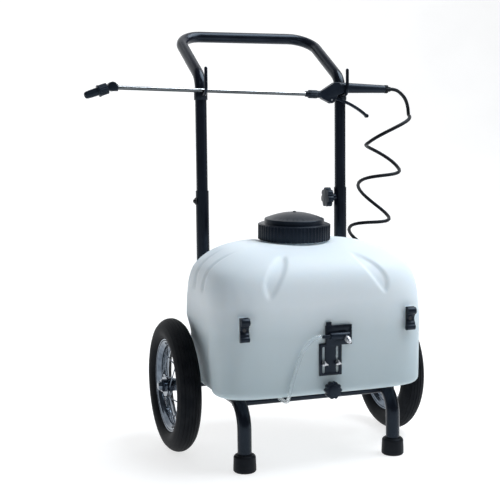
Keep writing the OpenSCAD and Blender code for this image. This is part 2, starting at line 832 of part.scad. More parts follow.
module lock_knob() {
    out = tube_d / 2 + 6 + seat_gap;
    color([0.05, 0.05, 0.05])
    at_knob(1) {
        x_rod(4, -out - 4, -handle_d / 2 - seat_gap);
        x_rod(12, -out - 6, -out);
        translate([-out - 6 + eps, 0, 0]) rotate([0, -90, 0]) lobed_knob(50, 14, 7, 8.5);
    }
}

module guide_bolt() {
    color([0.06, 0.06, 0.06])
    at_knob(-1) {
        x_rod(4, -tube_d / 2 - 1, -handle_d / 2 - seat_gap);
        x_rod(8.5, -tube_d / 2 - 2.2, -tube_d / 2 - weld_gap);
        translate([-tube_d / 2 - 2.2, 0, 0]) intersection() {
            sphere(r = 5.5);
            x_rod(6, -6, 0.1);
        }
    }
}

// ---------------------------------------------------------------- lance and gun

// The lance's own frame: X runs along the tube from the left hook to the gun
module lance_frame() {
    translate([-side_x, lance_y, lance_z]) rotate([0, lance_slope, 0]) children();
}
function lance_point(p) = [
    -side_x + p[0] * cos(lance_slope) + p[2] * sin(lance_slope),
    lance_y + p[1],
    lance_z - p[0] * sin(lance_slope) + p[2] * cos(lance_slope)
];

module lance_tube() {
    color([0.78, 0.79, 0.8])
    lance_frame() difference() {
        x_rod(lance_d / 2, -lance_reach, gun_start + 52);
        x_rod(lance_d / 2 - 1, -lance_reach - 1, gun_start + 53);
    }
}

module head_frame() {
    lance_frame() translate(elbow) rotate([0, -head_droop, 0]) mirror([1, 0, 0]) children();
}

module lance_elbow() {
    color([0.06, 0.06, 0.07])
    difference() {
        union() {
            lance_frame() translate(elbow) y_rod(11, -9.5, 9.5);
            lance_frame() x_rod(8.5, -lance_reach - 9, -lance_reach + 4);
            head_frame() x_rod(7, 0, 14);
        }
        lance_frame() x_rod(lance_d / 2 + turn_gap, -lance_reach - turn_gap, -lance_reach + 5);
        head_frame() x_rod(2, 2, 15);
    }
}

module spray_head() {
    color([0.05, 0.05, 0.06])
    head_frame() difference() {
        union() {
            rotate([0, 90, 0]) {
                translate([0, 0, 11.8]) lobed_knob(26, 20, 16, 1.6);
                translate([0, 0, 31]) cylinder(r = 14, h = 4);
                rotate_extrude() polygon([
                    [0, 34], [9.5, 34], [9.2, 52], [8.6, head_l - 6], [7.4, head_l - 2],
                    [5.5, head_l], [0, head_l]
                ]);
            }
        }
        x_rod(7 + turn_gap, 11, 14 + seat_gap);
        x_rod(2.2, 14, 60);
        x_rod(1, 14, head_l + 2);
        x_rod(4.2, head_l - 3, head_l + 1);
    }
}

module gun_nut() {
    color([0.06, 0.06, 0.07])
    lance_frame() difference() {
        rotate([0, 90, 0]) {
            translate([0, 0, gun_start]) cylinder(r = 7.2, h = 9);
            translate([0, 0, gun_start + 8]) lobed_knob(20.5, 22, 14, 1.5);
        }
        x_rod(lance_d / 2 + turn_gap, gun_start - 1, gun_start + 40);
    }
}

module gun_body() {
    front = gun_start + 30 + seat_gap;
    t = gun_t / 2;
    color([0.06, 0.07, 0.08])
    lance_frame() difference() {
        union() {
            x_rod(9, front, front + 30);
            hull() {
                translate([front + 12, 0, 0]) y_rod(8, -t + 3, t - 3);
                translate([front + 50, 0, grip_low + 16]) y_rod(11, -t, t);
                translate([frame_w - 17, 0, grip_low + 7]) y_rod(10, -t + 1, t - 1);
                translate([front + 22, 0, -4]) y_rod(6, -t + 2, t - 2);
            }
            hull() {
                translate([frame_w - 18, 0, grip_low + t]) x_rod(t, 0, 4);
                translate([frame_w - 18, 0, grip_low + 27 - t]) x_rod(t, 0, 4);
                translate([gun_end - 4, 0, grip_mid]) x_rod(10, 0, 4);
            }
            hull() {
                translate([front + 16, 0, -6]) y_rod(6, -t + 2, t - 2);
                translate([pivot[0], 0, pivot[1]]) y_rod(8.5, -t + 2, t - 2);
                translate([frame_w - 30, 0, 0]) y_rod(8, -t + 2, t - 2);
            }
        }
        x_rod(lance_d / 2 + turn_gap, front - 1, gun_start + 52 + turn_gap);
        x_rod(2.5, front, pivot[0] + 4);
        translate([pivot[0] + 2, 0, 0]) cylinder(r = 2.5, h = grip_mid);
        translate([0, 0, grip_mid]) x_rod(2.5, pivot[0] + 2, gun_end + 1);
        translate([pivot[0], 0, pivot[1]]) y_rod(pin_r, -t - 1, t + 1);
        translate([pivot[0] - 8, -4.1, pivot[1] - 12]) cube([60, 8.2, 24]);
        translate([gun_end - 5, 0, grip_mid]) x_rod(7 + turn_gap, 0, 6);
    }
}

module trigger() {
    arc_r = 220;
    start = [frame_w - 28, -8];
    dip = 12;
    centre = [start[0] - arc_r * sin(dip), start[1] - arc_r * cos(dip)];
    color([0.05, 0.05, 0.06])
    lance_frame() difference() {
        union() {
            hull() {
                translate([pivot[0], 0, pivot[1]]) y_rod(5.5, -3.8, 3.8);
                translate([start[0], 0, start[1] - 1]) y_rod(3.5, -3.8, 3.8);
            }
            translate([centre[0], -3.8, centre[1]]) rotate([90, 0, 0]) rotate([0, 0, 90 - dip - 26])
                rotate_extrude(angle = 26, $fn = 96) translate([arc_r - 3.5, -7.6]) square([7, 7.6]);
            translate([centre[0] + arc_r * cos(64 - dip), 0, centre[1] + arc_r * sin(64 - dip)])
                y_rod(4.8, -5, 5);
        }
        translate([pivot[0], 0, pivot[1]]) y_rod(pin_r + turn_gap, -6, 6);
    }
}

module trigger_pin() {
    color([0.72, 0.73, 0.75])
    lance_frame() translate([pivot[0], 0, pivot[1]])
        y_rod(pin_r - 0.01, -gun_t / 2 + 2.2, gun_t / 2 - 2.2);
}

module hose_boot() {
    color([0.05, 0.05, 0.06])
    lance_frame() translate([gun_end, 0, grip_mid]) difference() {
        union() {
            x_rod(7, -4.5, seat_gap + 1);
            rotate([0, 90, 0]) translate([0, 0, seat_gap]) lobed_knob(21, 8, 12, 2);
            x_rod(6.2, seat_gap + 7, 16);
        }
        x_rod(2.5, -6, 20);
        x_rod(hose_d / 2 + seat_gap, 15, 17);
    }
}

// ---------------------------------------------------------------- front bracket

module slotted_bracket() {
    color([0.05, 0.05, 0.06])
    difference() {
        translate([0, plate_y, 0]) {
            translate([-plate_w / 2, 0, plate_z]) cube([plate_w, plate_t, plate_h]);
            translate([-holder_lap, -4, plate_z + plate_h - 4]) cube(holder_size);
            translate([2 - holder_lap, -4, plate_z + plate_h + holder_size[2] - 5])
                cube([11, holder_size[1], 9]);
        }
        for (x = [-1, 1]) translate([x * slot_gap / 2, 0, plate_z + 5]) {
            translate([-slot_w / 2, plate_y - 10, slot_w / 2]) cube([slot_w, 20, slot_l - slot_w]);
            translate([0, 0, slot_w / 2]) y_rod(slot_w / 2, plate_y - 10, plate_y + 10);
            translate([0, 0, slot_l - slot_w / 2]) y_rod(slot_w / 2, plate_y - 10, plate_y + 10);
        }
        translate([nozzle_x, 0, holder_z]) y_rod(6 + 0.02, plate_y - 10, plate_y + 10);
    }
}

// Two studs that carry the slotted plate, and the screw of each clip
module front_screws() {
    color([0.78, 0.79, 0.8]) {
        for (x = [-1, 1]) translate([x * slot_gap / 2, 0, stud_z])
            y_rod(stud_r, plate_y - 12, tank_front + 12);
        both_sides() translate([clip_x, 0, clip_h]) {
            y_rod(4, pad_y - 2 - seat_gap - 5.8, pad_y - 2 - seat_gap - 4.2);
            y_rod(2, pad_y - 2 - seat_gap - 5, pad_y + 5);
        }
    }
}

module wing_nut(x) {
    face = plate_y - seat_gap;
    color([0.8, 0.81, 0.83])
    translate([x, 0, stud_z]) difference() {
        union() {
            y_rod(5, face - 6, face);
            y_rod(6.5, face - 1.5, face);
            for (s = [-1, 1]) translate([s * 3, face - 9, 0]) rotate([0, s * 20, 0])
                translate([s > 0 ? 0 : -7, 0, -1.5]) cube([7, 7, 3]);
        }
        y_rod(stud_r + turn_gap, face - 12, face + 1);
    }
}

// Nozzle body with a hose tail to the left
module fan_nozzle() {
    color([0.12, 0.14, 0.2])
    difference() {
        union() {
            translate([0, nozzle_y, holder_z]) {
                x_rod(7.5, -6, nozzle_x + 9);
                x_rod(3.2, -26, -5);
                for (i = [0:3]) translate([-24 + 5 * i, 0, 0]) rotate([0, 90, 0])
                    cylinder(r1 = 3.2, r2 = 4.1, h = 4);
            }
            translate([nozzle_x, 0, holder_z]) y_rod(6, nozzle_y, plate_y + plate_t - 0.5);
            tip_frame() cylinder(r = 5.5, h = 14);
        }
        translate([0, nozzle_y, holder_z]) x_rod(2, -30, nozzle_x);
        tip_frame() cylinder(r = 2, h = 14);
    }
}

// Spray tip that points forward and droops, with a fan slot across its face
module fan_tip() {
    color([0.8, 0.81, 0.83])
    tip_frame() difference() {
        union() {
            translate([0, 0, 8]) cylinder(r = 6.8, h = 15);
            translate([0, 0, 10]) cylinder(r = 7.6, h = 5);
            translate([0, 0, 22]) cylinder(r = 5, h = tip_l - 22);
        }
        translate([0, 0, 7]) cylinder(r = 5.52, h = 7 + seat_gap);
        translate([0, 0, 14]) cylinder(r = 1.5, h = tip_l - 16);
        translate([-9, -0.8, tip_l - 2]) cube([18, 1.6, 3]);
    }
}

module tip_frame() {
    translate([nozzle_x, nozzle_y, holder_z]) rotate([90 + tip_droop, 0, 0]) children();
}

module drain_fitting() {
    color([0.07, 0.07, 0.08])
    translate([0, 0, drain_z]) difference() {
        union() {
            y_rod(7.95, tank_front - drain_reach - 4, tank_front + 20);
            y_rod(14, tank_front - drain_reach - 4, tank_front - drain_reach - seat_gap);
        }
        y_rod(5 + turn_gap, tank_front - drain_reach - 5, tank_front + 21);
    }
}

module drain_knob() {
    face = tank_front - drain_reach - 4 - seat_gap;
    color([0.05, 0.05, 0.05])
    translate([0, 0, drain_z]) {
        y_rod(5, face - 4, tank_front + 8);
        translate([0, face, 0]) rotate([90, 0, 0]) lobed_knob(drain_d, 14, 10, 4.5);
        y_rod(drain_d / 2 - 8, face - 16, face - 13);
    }
}

// ---------------------------------------------------------------- pump unit

module pump_tray() {
    w = cover_w + 4;
    l = cover_y - tray_y + cover_l + 2;
    color([0.09, 0.09, 0.1])
    difference() {
        union() {
            translate([-w / 2, tray_y, tray_z]) cube([w, l, tray_t]);
            translate([-70, tray_y, tray_z]) cube([140, tray_t, rear_cross_h + 12 - tray_z]);
            for (s = [0, 1]) mirror([s, 0, 0])
                translate([cover_w / 2 + seat_gap, tray_y, tray_z]) cube([2 - seat_gap, l, 12]);
            translate([-w / 2, tray_y + l - 2 + seat_gap, tray_z]) cube([w, 2 - seat_gap, 12]);
        }
        for (x = [-45, 45]) translate([x, 0, rear_cross_h]) y_rod(3.02, tray_y - 1, tray_y + 10);
    }
}

module pump_cover() {
    back = cover_y + cover_l;
    color([0.07, 0.07, 0.08])
    difference() {
        translate([0, cover_y + cover_l / 2, cover_z]) union() {
            round_slab([cover_w, cover_l, cover_h - 6], 12);
            translate([0, 0, cover_h - 6 - eps]) round_slab([cover_w - 4, cover_l - 4, 3 + eps], 10);
            translate([0, 0, cover_h - 3 - eps]) round_slab([cover_w - 9, cover_l - 9, 3 + eps], 8);
        }
        translate([0, cover_y + cover_l / 2, cover_z - 1])
            round_slab([cover_w - 2 * cover_wall, cover_l - 2 * cover_wall, cover_h - cover_wall - 5], 9);
        translate([suction_x, 0, suction_z]) y_rod(8.4, cover_y - 1, cover_y + 10);
        translate([0, outlet_y, outlet_z]) x_rod(7.4, cover_w / 2 - 10, cover_w / 2 + 5);
        translate([switch_x - 14.2, back - 10, switch_z - 10.2]) cube([28.4, 20, 20.4]);
        for (i = [0:6]) translate([40 + 9 * i, back - 10, cover_z + 40]) cube([4, 20, 44]);
    }
}

module battery() {
    color([0.16, 0.16, 0.18])
    translate([-cover_w / 2 + cover_wall + 3, cover_y + cover_wall + 3, cover_z]) {
        cube(battery_size);
        for (x = [18, battery_size[0] - 26])
            translate([x, battery_size[1] / 2 - 3, battery_size[2] - eps]) cube([8, 5, 6]);
    }
}

module pump_motor() {
    color([0.3, 0.31, 0.33])
    translate([0, outlet_y - 8, outlet_z]) {
        x_rod(motor_r, 10, motor_end - seat_gap);
        x_rod(5, 4, 11);
        translate([18, -motor_foot[1] / 2, cover_z - outlet_z]) cube(motor_foot);
        translate([18, -motor_foot[1] * 0.3, cover_z - outlet_z])
            cube([motor_foot[0], motor_foot[1] * 0.6, 2 * motor_foot[2]]);
    }
}

module pump_head() {
    color([0.1, 0.1, 0.11])
    difference() {
        union() {
            translate([motor_end, outlet_y - head_size[1] / 2, outlet_z - head_size[2] / 2])
                cube(head_size);
            translate([motor_end, outlet_y - head_size[1] / 2 + 6, cover_z])
                cube([head_size[0], head_size[1] - 12, head_size[2] / 3]);
            translate([0, outlet_y, outlet_z])
                x_rod(10, motor_end + head_size[0] - 4, motor_end + head_size[0] + 6);
            translate([suction_x, 0, suction_z])
                y_rod(11, outlet_y - head_size[1] / 2 - 8, outlet_y - head_size[1] / 2 + 6);
        }
        translate([0, outlet_y, outlet_z]) x_rod(3, 120, 141);
        translate([suction_x, 0, suction_z]) y_rod(4, outlet_y - 45, outlet_y - 25);
    }
}

module suction_elbow() {
    color([0.08, 0.08, 0.09])
    translate([suction_x, 0, suction_z]) difference() {
        union() {
            y_rod(8, tank_back - 19, outlet_y - 44 - seat_gap);
            y_rod(14, tank_back + seat_gap, tank_back + 4);
            translate([0, tank_back - 12 - seat_gap, 0]) rotate([90, 0, 0])
                cylinder(r = 12, h = 5, $fn = 6);
        }
        y_rod(4.5, tank_back - 20, outlet_y);
    }
}

module outlet_tee() {
    color([0.08, 0.08, 0.09])
    translate([0, outlet_y, outlet_z]) difference() {
        union() {
            x_rod(7, 140 + seat_gap, tee_x);
            x_rod(12, cover_w / 2 + seat_gap, cover_w / 2 + 6);
            translate([tee_x, 0, -10]) cylinder(r = 8, h = 20);
            for (s = [-1, 1]) translate([tee_x, 0, 0]) mirror([0, 0, s < 0 ? 1 : 0]) {
                cylinder(r = 3, h = 16);
                translate([0, 0, 9]) cylinder(r = 6.2, h = 3);
            }
        }
        x_rod(2.5, 139, tee_x);
        translate([tee_x, 0, -20]) cylinder(r = 2, h = 40);
    }
}

module power_switch() {
    back = cover_y + cover_l;
    color([0.04, 0.04, 0.04])
    translate([switch_x, back, switch_z]) difference() {
        union() {
            translate([-17, seat_gap, -13]) cube([34, 2, 26]);
            translate([-14, -22, -10]) cube([28, 22 + seat_gap + 1, 20]);
        }
        translate([-11.5, -8, -7.5]) cube([23, 20, 15]);
    }
}

// Rocker paddle, its pin's axis along X
module switch_rocker() {
    back = cover_y + cover_l;
    color([0.7, 0.06, 0.05])
    translate([switch_x - 11, back, switch_z]) rotate([90, 0, 90]) linear_extrude(height = 22)
        polygon([[-4, -4.5], [-4, 4.5], [1.5, 6.9], [4.6, 6.6], [2.6, 0], [4.6, -6.6], [1.5, -6.9]]);
}

// ---------------------------------------------------------------- hoses

// Curly hose. The curls run about a line that drifts left and back as it hangs from the gun
curls = 6.5;
function curl_x(t) = lookup(t, [[0, 327], [0.5, 312], [1, 306], [1.5, 299], [2, 285], [2.5, 280],
    [4, 258], [6.5, 252]]);
function curl_y(t) = lookup(t, [[0, 288], [2.5, 330], [4, 362], [6.5, 366]]);
function curl_z(t) = lookup(t, [[0, 797], [1, 675], [2, 552], [3, 436], [4, 405], [6.5, 338]]);
function curl_tilt(t) = lookup(t, [[0, 0], [0.5, 10], [1, -14], [2.5, -18], [4, 0], [6.5, 0]]);
function curl_point(t) = [
    curl_x(t) + curl_r * cos(360 * t),
    curl_y(t) - curl_r * sin(360 * t),
    curl_z(t) + curl_tilt(t) * cos(360 * t)
];

hose_start = lance_point([gun_end + 16 + seat_gap, 0, grip_mid]);
lance_dir = [cos(lance_slope), 0, -sin(lance_slope)];
hose_top = spline([
    hose_start, hose_start + 9 * lance_dir, [336, 270, 856], [358, 278, 840], [372, 288, 820],
    curl_point(0)
], 4);
hose_tail = [
    [190, 372, 318], [178, 368, 300], [tee_x, outlet_y, outlet_z + 38],
    [tee_x, outlet_y, outlet_z + 26], [tee_x, outlet_y, outlet_z + 16 + seat_gap]
];
join_at = 12;
curl_rings = [for (i = [1:curls * 8]) curl_point(i / 8)];
curly_route = concat(
    [for (i = [join_at:len(hose_top) - 1]) hose_top[i]], curl_rings, hose_tail);
lead_route = [for (i = [0:join_at]) hose_top[i]];

// Least gap between two curls, measured between ring centres at least three quarters of
// a curl apart
curl_gap = min([
    for (i = [0:len(curly_route) - 8], j = [i + 6:len(curly_route) - 1])
        norm(curly_route[i] - curly_route[j])
]) - hose_d;
hose_length = route_length(curly_route) + route_length(lead_route);
echo(least_gap_between_curls = curl_gap, curly_hose_length = hose_length);

module curly_hose() {
    shift = 2 * seat_gap * heading(curly_route, 0);
    color([0.04, 0.04, 0.05])
    swept_tube(concat([curly_route[0] + shift], [for (i = [1:len(curly_route) - 1]) curly_route[i]]),
        hose_d, 6);
}

module hose_lead() {
    color([0.04, 0.04, 0.05]) swept_tube(lead_route, hose_d, 6);
}

// Clear hose from the front nozzle, under the tank and the axle, up to the pump's outlet
feed_points = [
    [-26.5, plate_y - 12.3, holder_z], [-36, plate_y - 12.3, holder_z], [-50, -68, 298],
    [-68, -64, 275], [-82, -62, 240], [-94, -62, 205], [-100, -61, 180], [-102, -55, 165],
    [-102, -34, 160.2], [-100, 10, 160.2], [-92, 60, 160.2], [-70, 130, 157], [-20, 185, 147],
    [50, 225, 144], [110, 275, 144], [150, 325, 150], [tee_x - 2, outlet_y - 12, 172],
    [tee_x, outlet_y, 190], [tee_x, outlet_y, outlet_z - 26],
    [tee_x, outlet_y, outlet_z - 16 - seat_gap]
];
feed_route = spline(feed_points, 3);
echo(feed_hose_length = route_length(feed_route));

module feed_hose() {
    color([0.8, 0.86, 0.88]) swept_tube(feed_route, feed_d, 8);
}

// ---------------------------------------------------------------- assembly

place() side_tube(-1);  // side_tube_left
place() side_tube(1);  // side_tube_right
place() cross_tube(cross_y, cross_h, []);  // front_cross_tube
place() cross_tube(frame_l, rear_cross_h, [-45, 45]);  // rear_cross_tube
place() rubber_feet();
place() axle();
place() axle_spacers();
place() axle_caps();
place() tyre(-1);  // tyre_left
place() tyre(1);  // tyre_right
place() rim(-1);  // rim_left
place() rim(1);  // rim_right
place() hub(-1);  // hub_left
place() hub(1);  // hub_right
place() wire_spokes(-1);  // wire_spokes_left
place() wire_spokes(1);  // wire_spokes_right
place() hub_bushes(-1);  // hub_bushes_left
place() hub_bushes(1);  // hub_bushes_right
place() tank_lower(-1);  // tank_lower_left
place() tank_lower(1);  // tank_lower_right
place() tank_upper(-1);  // tank_upper_left
place() tank_upper(1);  // tank_upper_right
place() filler_neck();
place() frame_bolts();
place() cap_gasket();
place() filler_cap();
place() lance_clips();
place() handle_tube();
place() lance_hooks();
place() knob_boss();
place() lock_knob();
place() guide_bolt();
place() lance_tube();
place() lance_elbow();
place() spray_head();
place() gun_nut();
place() gun_body();
place() trigger();
place() trigger_pin();
place() hose_boot();
place() front_screws();
place() slotted_bracket();
place() wing_nut(-slot_gap / 2);  // wing_nut_left
place() wing_nut(slot_gap / 2);  // wing_nut_right
place() fan_nozzle();
place() fan_tip();
place() drain_fitting();
place() drain_knob();
place() pump_tray();
place() pump_cover();
place() battery();
place() pump_motor();
place() pump_head();
place() suction_elbow();
place() outlet_tee();
place() power_switch();
place() switch_rocker();
place() curly_hose();
place() hose_lead();
place() feed_hose();
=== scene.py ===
# %% [markdown]
# # A wheeled sprayer cart, dressed
#
# The cart is a two-wheeled trolley of bent black tube. It carries a milky moulded tank with a
# filler cap, a telescoping handle, a spray lance lying across the handle in two hooks, a curly
# hose, and a fan nozzle on a slotted plate in front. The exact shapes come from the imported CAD
# model, which is loaded here as a fixed frame. This lesson gives each piece its surface, and
# models anew the pieces whose form is softer or finer than exact solids can say: the blown
# tank shell, the tyres, the grip, the gun and the hoses.
#
# Lengths are in metres. The origin is on the floor, +X is to the right seen from the front,
# +Y runs from the front feet towards the handle and +Z is up.

import json
import math

import bpy
from mathutils import Matrix, Vector


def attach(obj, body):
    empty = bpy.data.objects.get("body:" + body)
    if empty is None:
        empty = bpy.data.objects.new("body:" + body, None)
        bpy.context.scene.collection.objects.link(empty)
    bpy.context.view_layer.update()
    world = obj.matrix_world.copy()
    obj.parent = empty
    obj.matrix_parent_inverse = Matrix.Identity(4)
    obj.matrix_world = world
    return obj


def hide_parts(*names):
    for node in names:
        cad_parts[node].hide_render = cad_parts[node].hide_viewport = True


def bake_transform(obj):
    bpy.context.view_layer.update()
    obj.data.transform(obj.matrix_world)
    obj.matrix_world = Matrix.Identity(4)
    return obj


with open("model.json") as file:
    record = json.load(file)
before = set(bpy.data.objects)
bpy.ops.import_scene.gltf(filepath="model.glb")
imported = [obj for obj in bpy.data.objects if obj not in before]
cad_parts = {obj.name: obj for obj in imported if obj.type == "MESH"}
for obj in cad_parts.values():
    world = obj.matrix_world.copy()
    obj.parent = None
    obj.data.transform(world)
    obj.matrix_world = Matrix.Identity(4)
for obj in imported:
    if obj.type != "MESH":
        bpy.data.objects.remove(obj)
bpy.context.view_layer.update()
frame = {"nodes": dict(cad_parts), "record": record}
record = frame["record"]

# %% [markdown]
# ## Working in the cart's own millimetres
#
# The cart was drawn with its middle plane at x = 0 and the front feet at y = 0, in millimetres.
# The frame that all tools share has its origin under the middle of the covered floor, because
# the lance reaches past the left wheel. One small function turns a drawn point into a point of
# the shared frame, so that every number below can be compared with the drawing.

# %% From drawn millimetres to the shared frame
CART_X, CART_Y = 74.8274, -207.658


def at(x, y, z):
    return Vector(((x + CART_X) / 1000, (y + CART_Y) / 1000, z / 1000))


def mm(value):
    return value / 1000


print("the axle's middle is at", [round(v, 4) for v in at(0, 220, 158.5)])

# %% [markdown]
# ## The camera
#
# The cart is seen from its front left, from a little below the grip's height and from about two
# and a half metres away, with a long lens, so the uprights stay nearly parallel. The camera is
# turned by building its three axes by hand: forward, right and up, with a slight roll.

# %% Camera
yaw, pitch, roll = math.radians(19.5), math.radians(6.0), math.radians(-0.6)
forward = Vector((math.sin(yaw) * math.cos(pitch),
                  math.cos(yaw) * math.cos(pitch),
                  -math.sin(pitch)))
level = Vector((math.cos(yaw), -math.sin(yaw), 0))
above = level.cross(forward)
right = math.cos(roll) * level + math.sin(roll) * above
up = math.cos(roll) * above - math.sin(roll) * level
eye = at(-929.9, -2156.2, 737.3)

camera = bpy.data.objects.new("camera", bpy.data.cameras.new("camera"))
bpy.context.collection.objects.link(camera)
camera.matrix_world = Matrix((
    (right.x, up.x, -forward.x, eye.x),
    (right.y, up.y, -forward.y, eye.y),
    (right.z, up.z, -forward.z, eye.z),
    (0, 0, 0, 1),
))
SENSOR, FOCAL_IN_PIXELS, FRAME_IN_PIXELS = 36, 1049.2, 500
camera.data.sensor_width = SENSOR
camera.data.lens = FOCAL_IN_PIXELS / FRAME_IN_PIXELS * SENSOR
camera.data.clip_end = 30
bpy.context.scene.camera = camera
print("lens", round(camera.data.lens, 2), "mm")

# %% [markdown]
# ## Writing materials as sums and products
#
# A procedural material is a little calculation: some noise, scaled, added to a base value. Node
# by node that gets long, so a small class wraps an output socket and lets Python's + - * add
# the Math nodes. Every other node comes from one method that takes its type, its settings and
# the values or links of its inputs.

# %% A socket that can be used in a sum
class Wave:
    def __init__(self, tree, out):
        self.tree, self.out = tree, out

    def math(self, operation, first, second=None):
        node = self.tree.nodes.new("ShaderNodeMath")
        node.operation = operation
        for place, value in enumerate((first, second)):
            if isinstance(value, Wave):
                self.tree.links.new(value.out, node.inputs[place])
            elif value is not None:
                node.inputs[place].default_value = value
        return Wave(self.tree, node.outputs[0])

    def __add__(self, other):
        return self.math("ADD", self, other)

    def __mul__(self, other):
        return self.math("MULTIPLY", self, other)

    def __sub__(self, other):
        return self.math("SUBTRACT", self, other)

    def __rsub__(self, other):
        return self.math("SUBTRACT", other, self)

    __radd__, __rmul__ = __add__, __mul__

    def above(self, value):
        return self.math("GREATER_THAN", self, value)

    def size(self):
        return self.math("ABSOLUTE", self)


# %% A finish: one material and the nodes that feed it
class Finish:
    def __init__(self, name, **plain):
        self.mat = bpy.data.materials.new(name)
        self.mat.use_nodes = True
        self.tree = self.mat.node_tree
        self.shader = self.tree.nodes["Principled BSDF"]
        for socket, value in plain.items():
            self.shader.inputs[socket.replace("_", " ")].default_value = value

    def node(self, kind, settings=None, inputs=None, give=0):
        node = self.tree.nodes.new(kind)
        for key, value in (settings or {}).items():
            if key == "stops":
                ramp = node.color_ramp.elements
                while len(ramp) < len(value):
                    ramp.new(0.5)
                for element, (place, colour) in zip(ramp, value):
                    element.position, element.color = place, (*colour, 1)
            else:
                setattr(node, key, value)
        for key, value in (inputs or {}).items():
            if isinstance(value, Wave):
                self.tree.links.new(value.out, node.inputs[key])
            else:
                node.inputs[key].default_value = value
        return Wave(self.tree, node.outputs[give])

    def place(self, scale=(1, 1, 1)):
        here = self.node("ShaderNodeTexCoord", give="Object")
        return self.node("ShaderNodeMapping", None, {"Vector": here, "Scale": scale})

    def axes(self, vector):
        split = self.tree.nodes.new("ShaderNodeSeparateXYZ")
        self.tree.links.new(vector.out, split.inputs[0])
        return [Wave(self.tree, split.outputs[i]) for i in range(3)]

    def noise(self, scale, detail=2.0, vector=None):
        inputs = {"Scale": scale, "Detail": detail, "Vector": vector or self.place()}
        return self.node("ShaderNodeTexNoise", None, inputs)

    def ramp(self, factor, *stops):
        return self.node("ShaderNodeValToRGB", {"stops": stops}, {"Fac": factor})

    def bump(self, height, strength, depth):
        return self.node("ShaderNodeBump", None,
                         {"Height": height, "Strength": strength, "Distance": depth})

    def feed(self, **links):
        for socket, wave in links.items():
            self.tree.links.new(wave.out, self.shader.inputs[socket.replace("_", " ")])
        return self.mat


finishes = {}
print("material helpers ready")

# %% [markdown]
# ## Black powder coat
#
# The tubes are powder coated: a satin black film with a very fine orange peel, a little glossier
# where hands and straps have rubbed it. Two noises do it, one as fine as the peel for the bump
# and one as wide as a hand for the gloss. Black things outdoors and in a studio show the sky's
# blue in their highlights, so the coat, the plastics and the rubbers share a cool tint.

# %% Powder coat
SKY_TINT = (0.62, 0.80, 1.0, 1)
coat = Finish("black_paint", Specular_IOR_Level=0.28, Specular_Tint=SKY_TINT)
peel = coat.noise(700, 3)
hands = coat.noise(14, 4)
finishes["black_paint"] = coat.feed(
    Base_Color=coat.ramp(hands, (0.35, (0.005, 0.006, 0.010)), (0.7, (0.009, 0.011, 0.018))),
    Roughness=hands * 0.12 + peel * 0.05 + 0.16,
    Normal=coat.bump(peel, 0.12, mm(0.25)),
)

# %% [markdown]
# ## Moulded black plastic
#
# The cap, clips, gun and knobs are injection moulded and spark eroded: an even fine grain, with
# a blue-grey sheen in the light. The pump cover's grain is the same. A second, very wide noise
# keeps large faces from looking painted with one colour.

# %% Black plastic
grain_plastic = Finish("black_plastic", Specular_IOR_Level=0.24, Specular_Tint=SKY_TINT)
grain = grain_plastic.noise(1500, 2)
cloud = grain_plastic.noise(22, 3)
finishes["black_plastic"] = grain_plastic.feed(
    Base_Color=grain_plastic.ramp(cloud, (0.3, (0.006, 0.008, 0.013)),
                                  (0.75, (0.011, 0.015, 0.024))),
    Roughness=cloud * 0.12 + grain * 0.08 + 0.24,
    Normal=grain_plastic.bump(grain, 0.25, mm(0.15)),
)

# %% [markdown]
# ## Rubber: hose jacket, feet, boots, and the tyre
#
# Rubber is nearly black and matt, with a faint bloom that greys it in patches. The tyre's
# compound is duller still and holds dust in the tread.

# %% Rubbers
rubber = Finish("black_rubber", Specular_IOR_Level=0.14, Specular_Tint=SKY_TINT)
skin = rubber.noise(900, 2)
bloom = rubber.noise(30, 4)
finishes["black_rubber"] = rubber.feed(
    Base_Color=rubber.ramp(bloom, (0.35, (0.006, 0.006, 0.007)), (0.75, (0.014, 0.014, 0.016))),
    Roughness=bloom * 0.18 + 0.36,
    Normal=rubber.bump(skin, 0.2, mm(0.2)),
)
compound = Finish("tyre", Specular_IOR_Level=0.12, Specular_Tint=SKY_TINT)
grit = compound.noise(600, 3)
dust = compound.noise(40, 5)
finishes["tyre"] = compound.feed(
    Base_Color=compound.ramp(dust, (0.4, (0.005, 0.005, 0.006)), (0.8, (0.014, 0.014, 0.015))),
    Roughness=dust * 0.2 + 0.52,
    Normal=compound.bump(grit, 0.3, mm(0.3)),
)

# %% [markdown]
# ## Bright metals
#
# Rims and spokes are chromed, the lance is drawn aluminium, bolts and nuts are zinc plated.
# They differ in how wide the highlight is and in the direction of the fine lines: the lance's
# lines run along it, zinc has a cloudy, slightly blue grain, chrome has almost none. The lance's
# colour is a painted highlight on its upper half and painted shade on its underside. The two
# screws in the lance clips, far out on the tank's front, are blackened, so there the zinc's
# colour and metal are switched off.

# %% Chrome, zinc, aluminium, dark steel
chrome = Finish("chrome", Metallic=1.0)
haze = chrome.noise(60, 4)
finishes["chrome"] = chrome.feed(
    Base_Color=chrome.ramp(haze, (0.3, (0.09, 0.11, 0.14)), (0.8, (0.22, 0.26, 0.31))),
    Roughness=haze * 0.12 + 0.08,
)
zinc = Finish("zinc_steel", Metallic=1.0)
spangle = zinc.noise(240, 4)
across, deep = zinc.axes(zinc.place())[:2]
CLIP_REACH, TANK_FRONT = mm(150), at(0, -20, 0).y
on_clip = (across - mm(CART_X)).size().above(CLIP_REACH) * (TANK_FRONT - deep).above(0)
bright = 1 - on_clip
finishes["zinc_steel"] = zinc.feed(
    Base_Color=zinc.ramp(spangle * bright, (0.1, (0.012, 0.014, 0.02)), (0.3, (0.42, 0.44, 0.47)),
                         (0.7, (0.66, 0.67, 0.69))),
    Metallic=bright,
    Roughness=spangle * 0.2 + 0.2,
    Normal=zinc.bump(spangle, 0.1, mm(0.1)),
)
drawn = Finish("aluminium", Metallic=1.0)
lines = drawn.noise(1, 3, drawn.place(scale=(6, 2600, 2600)))
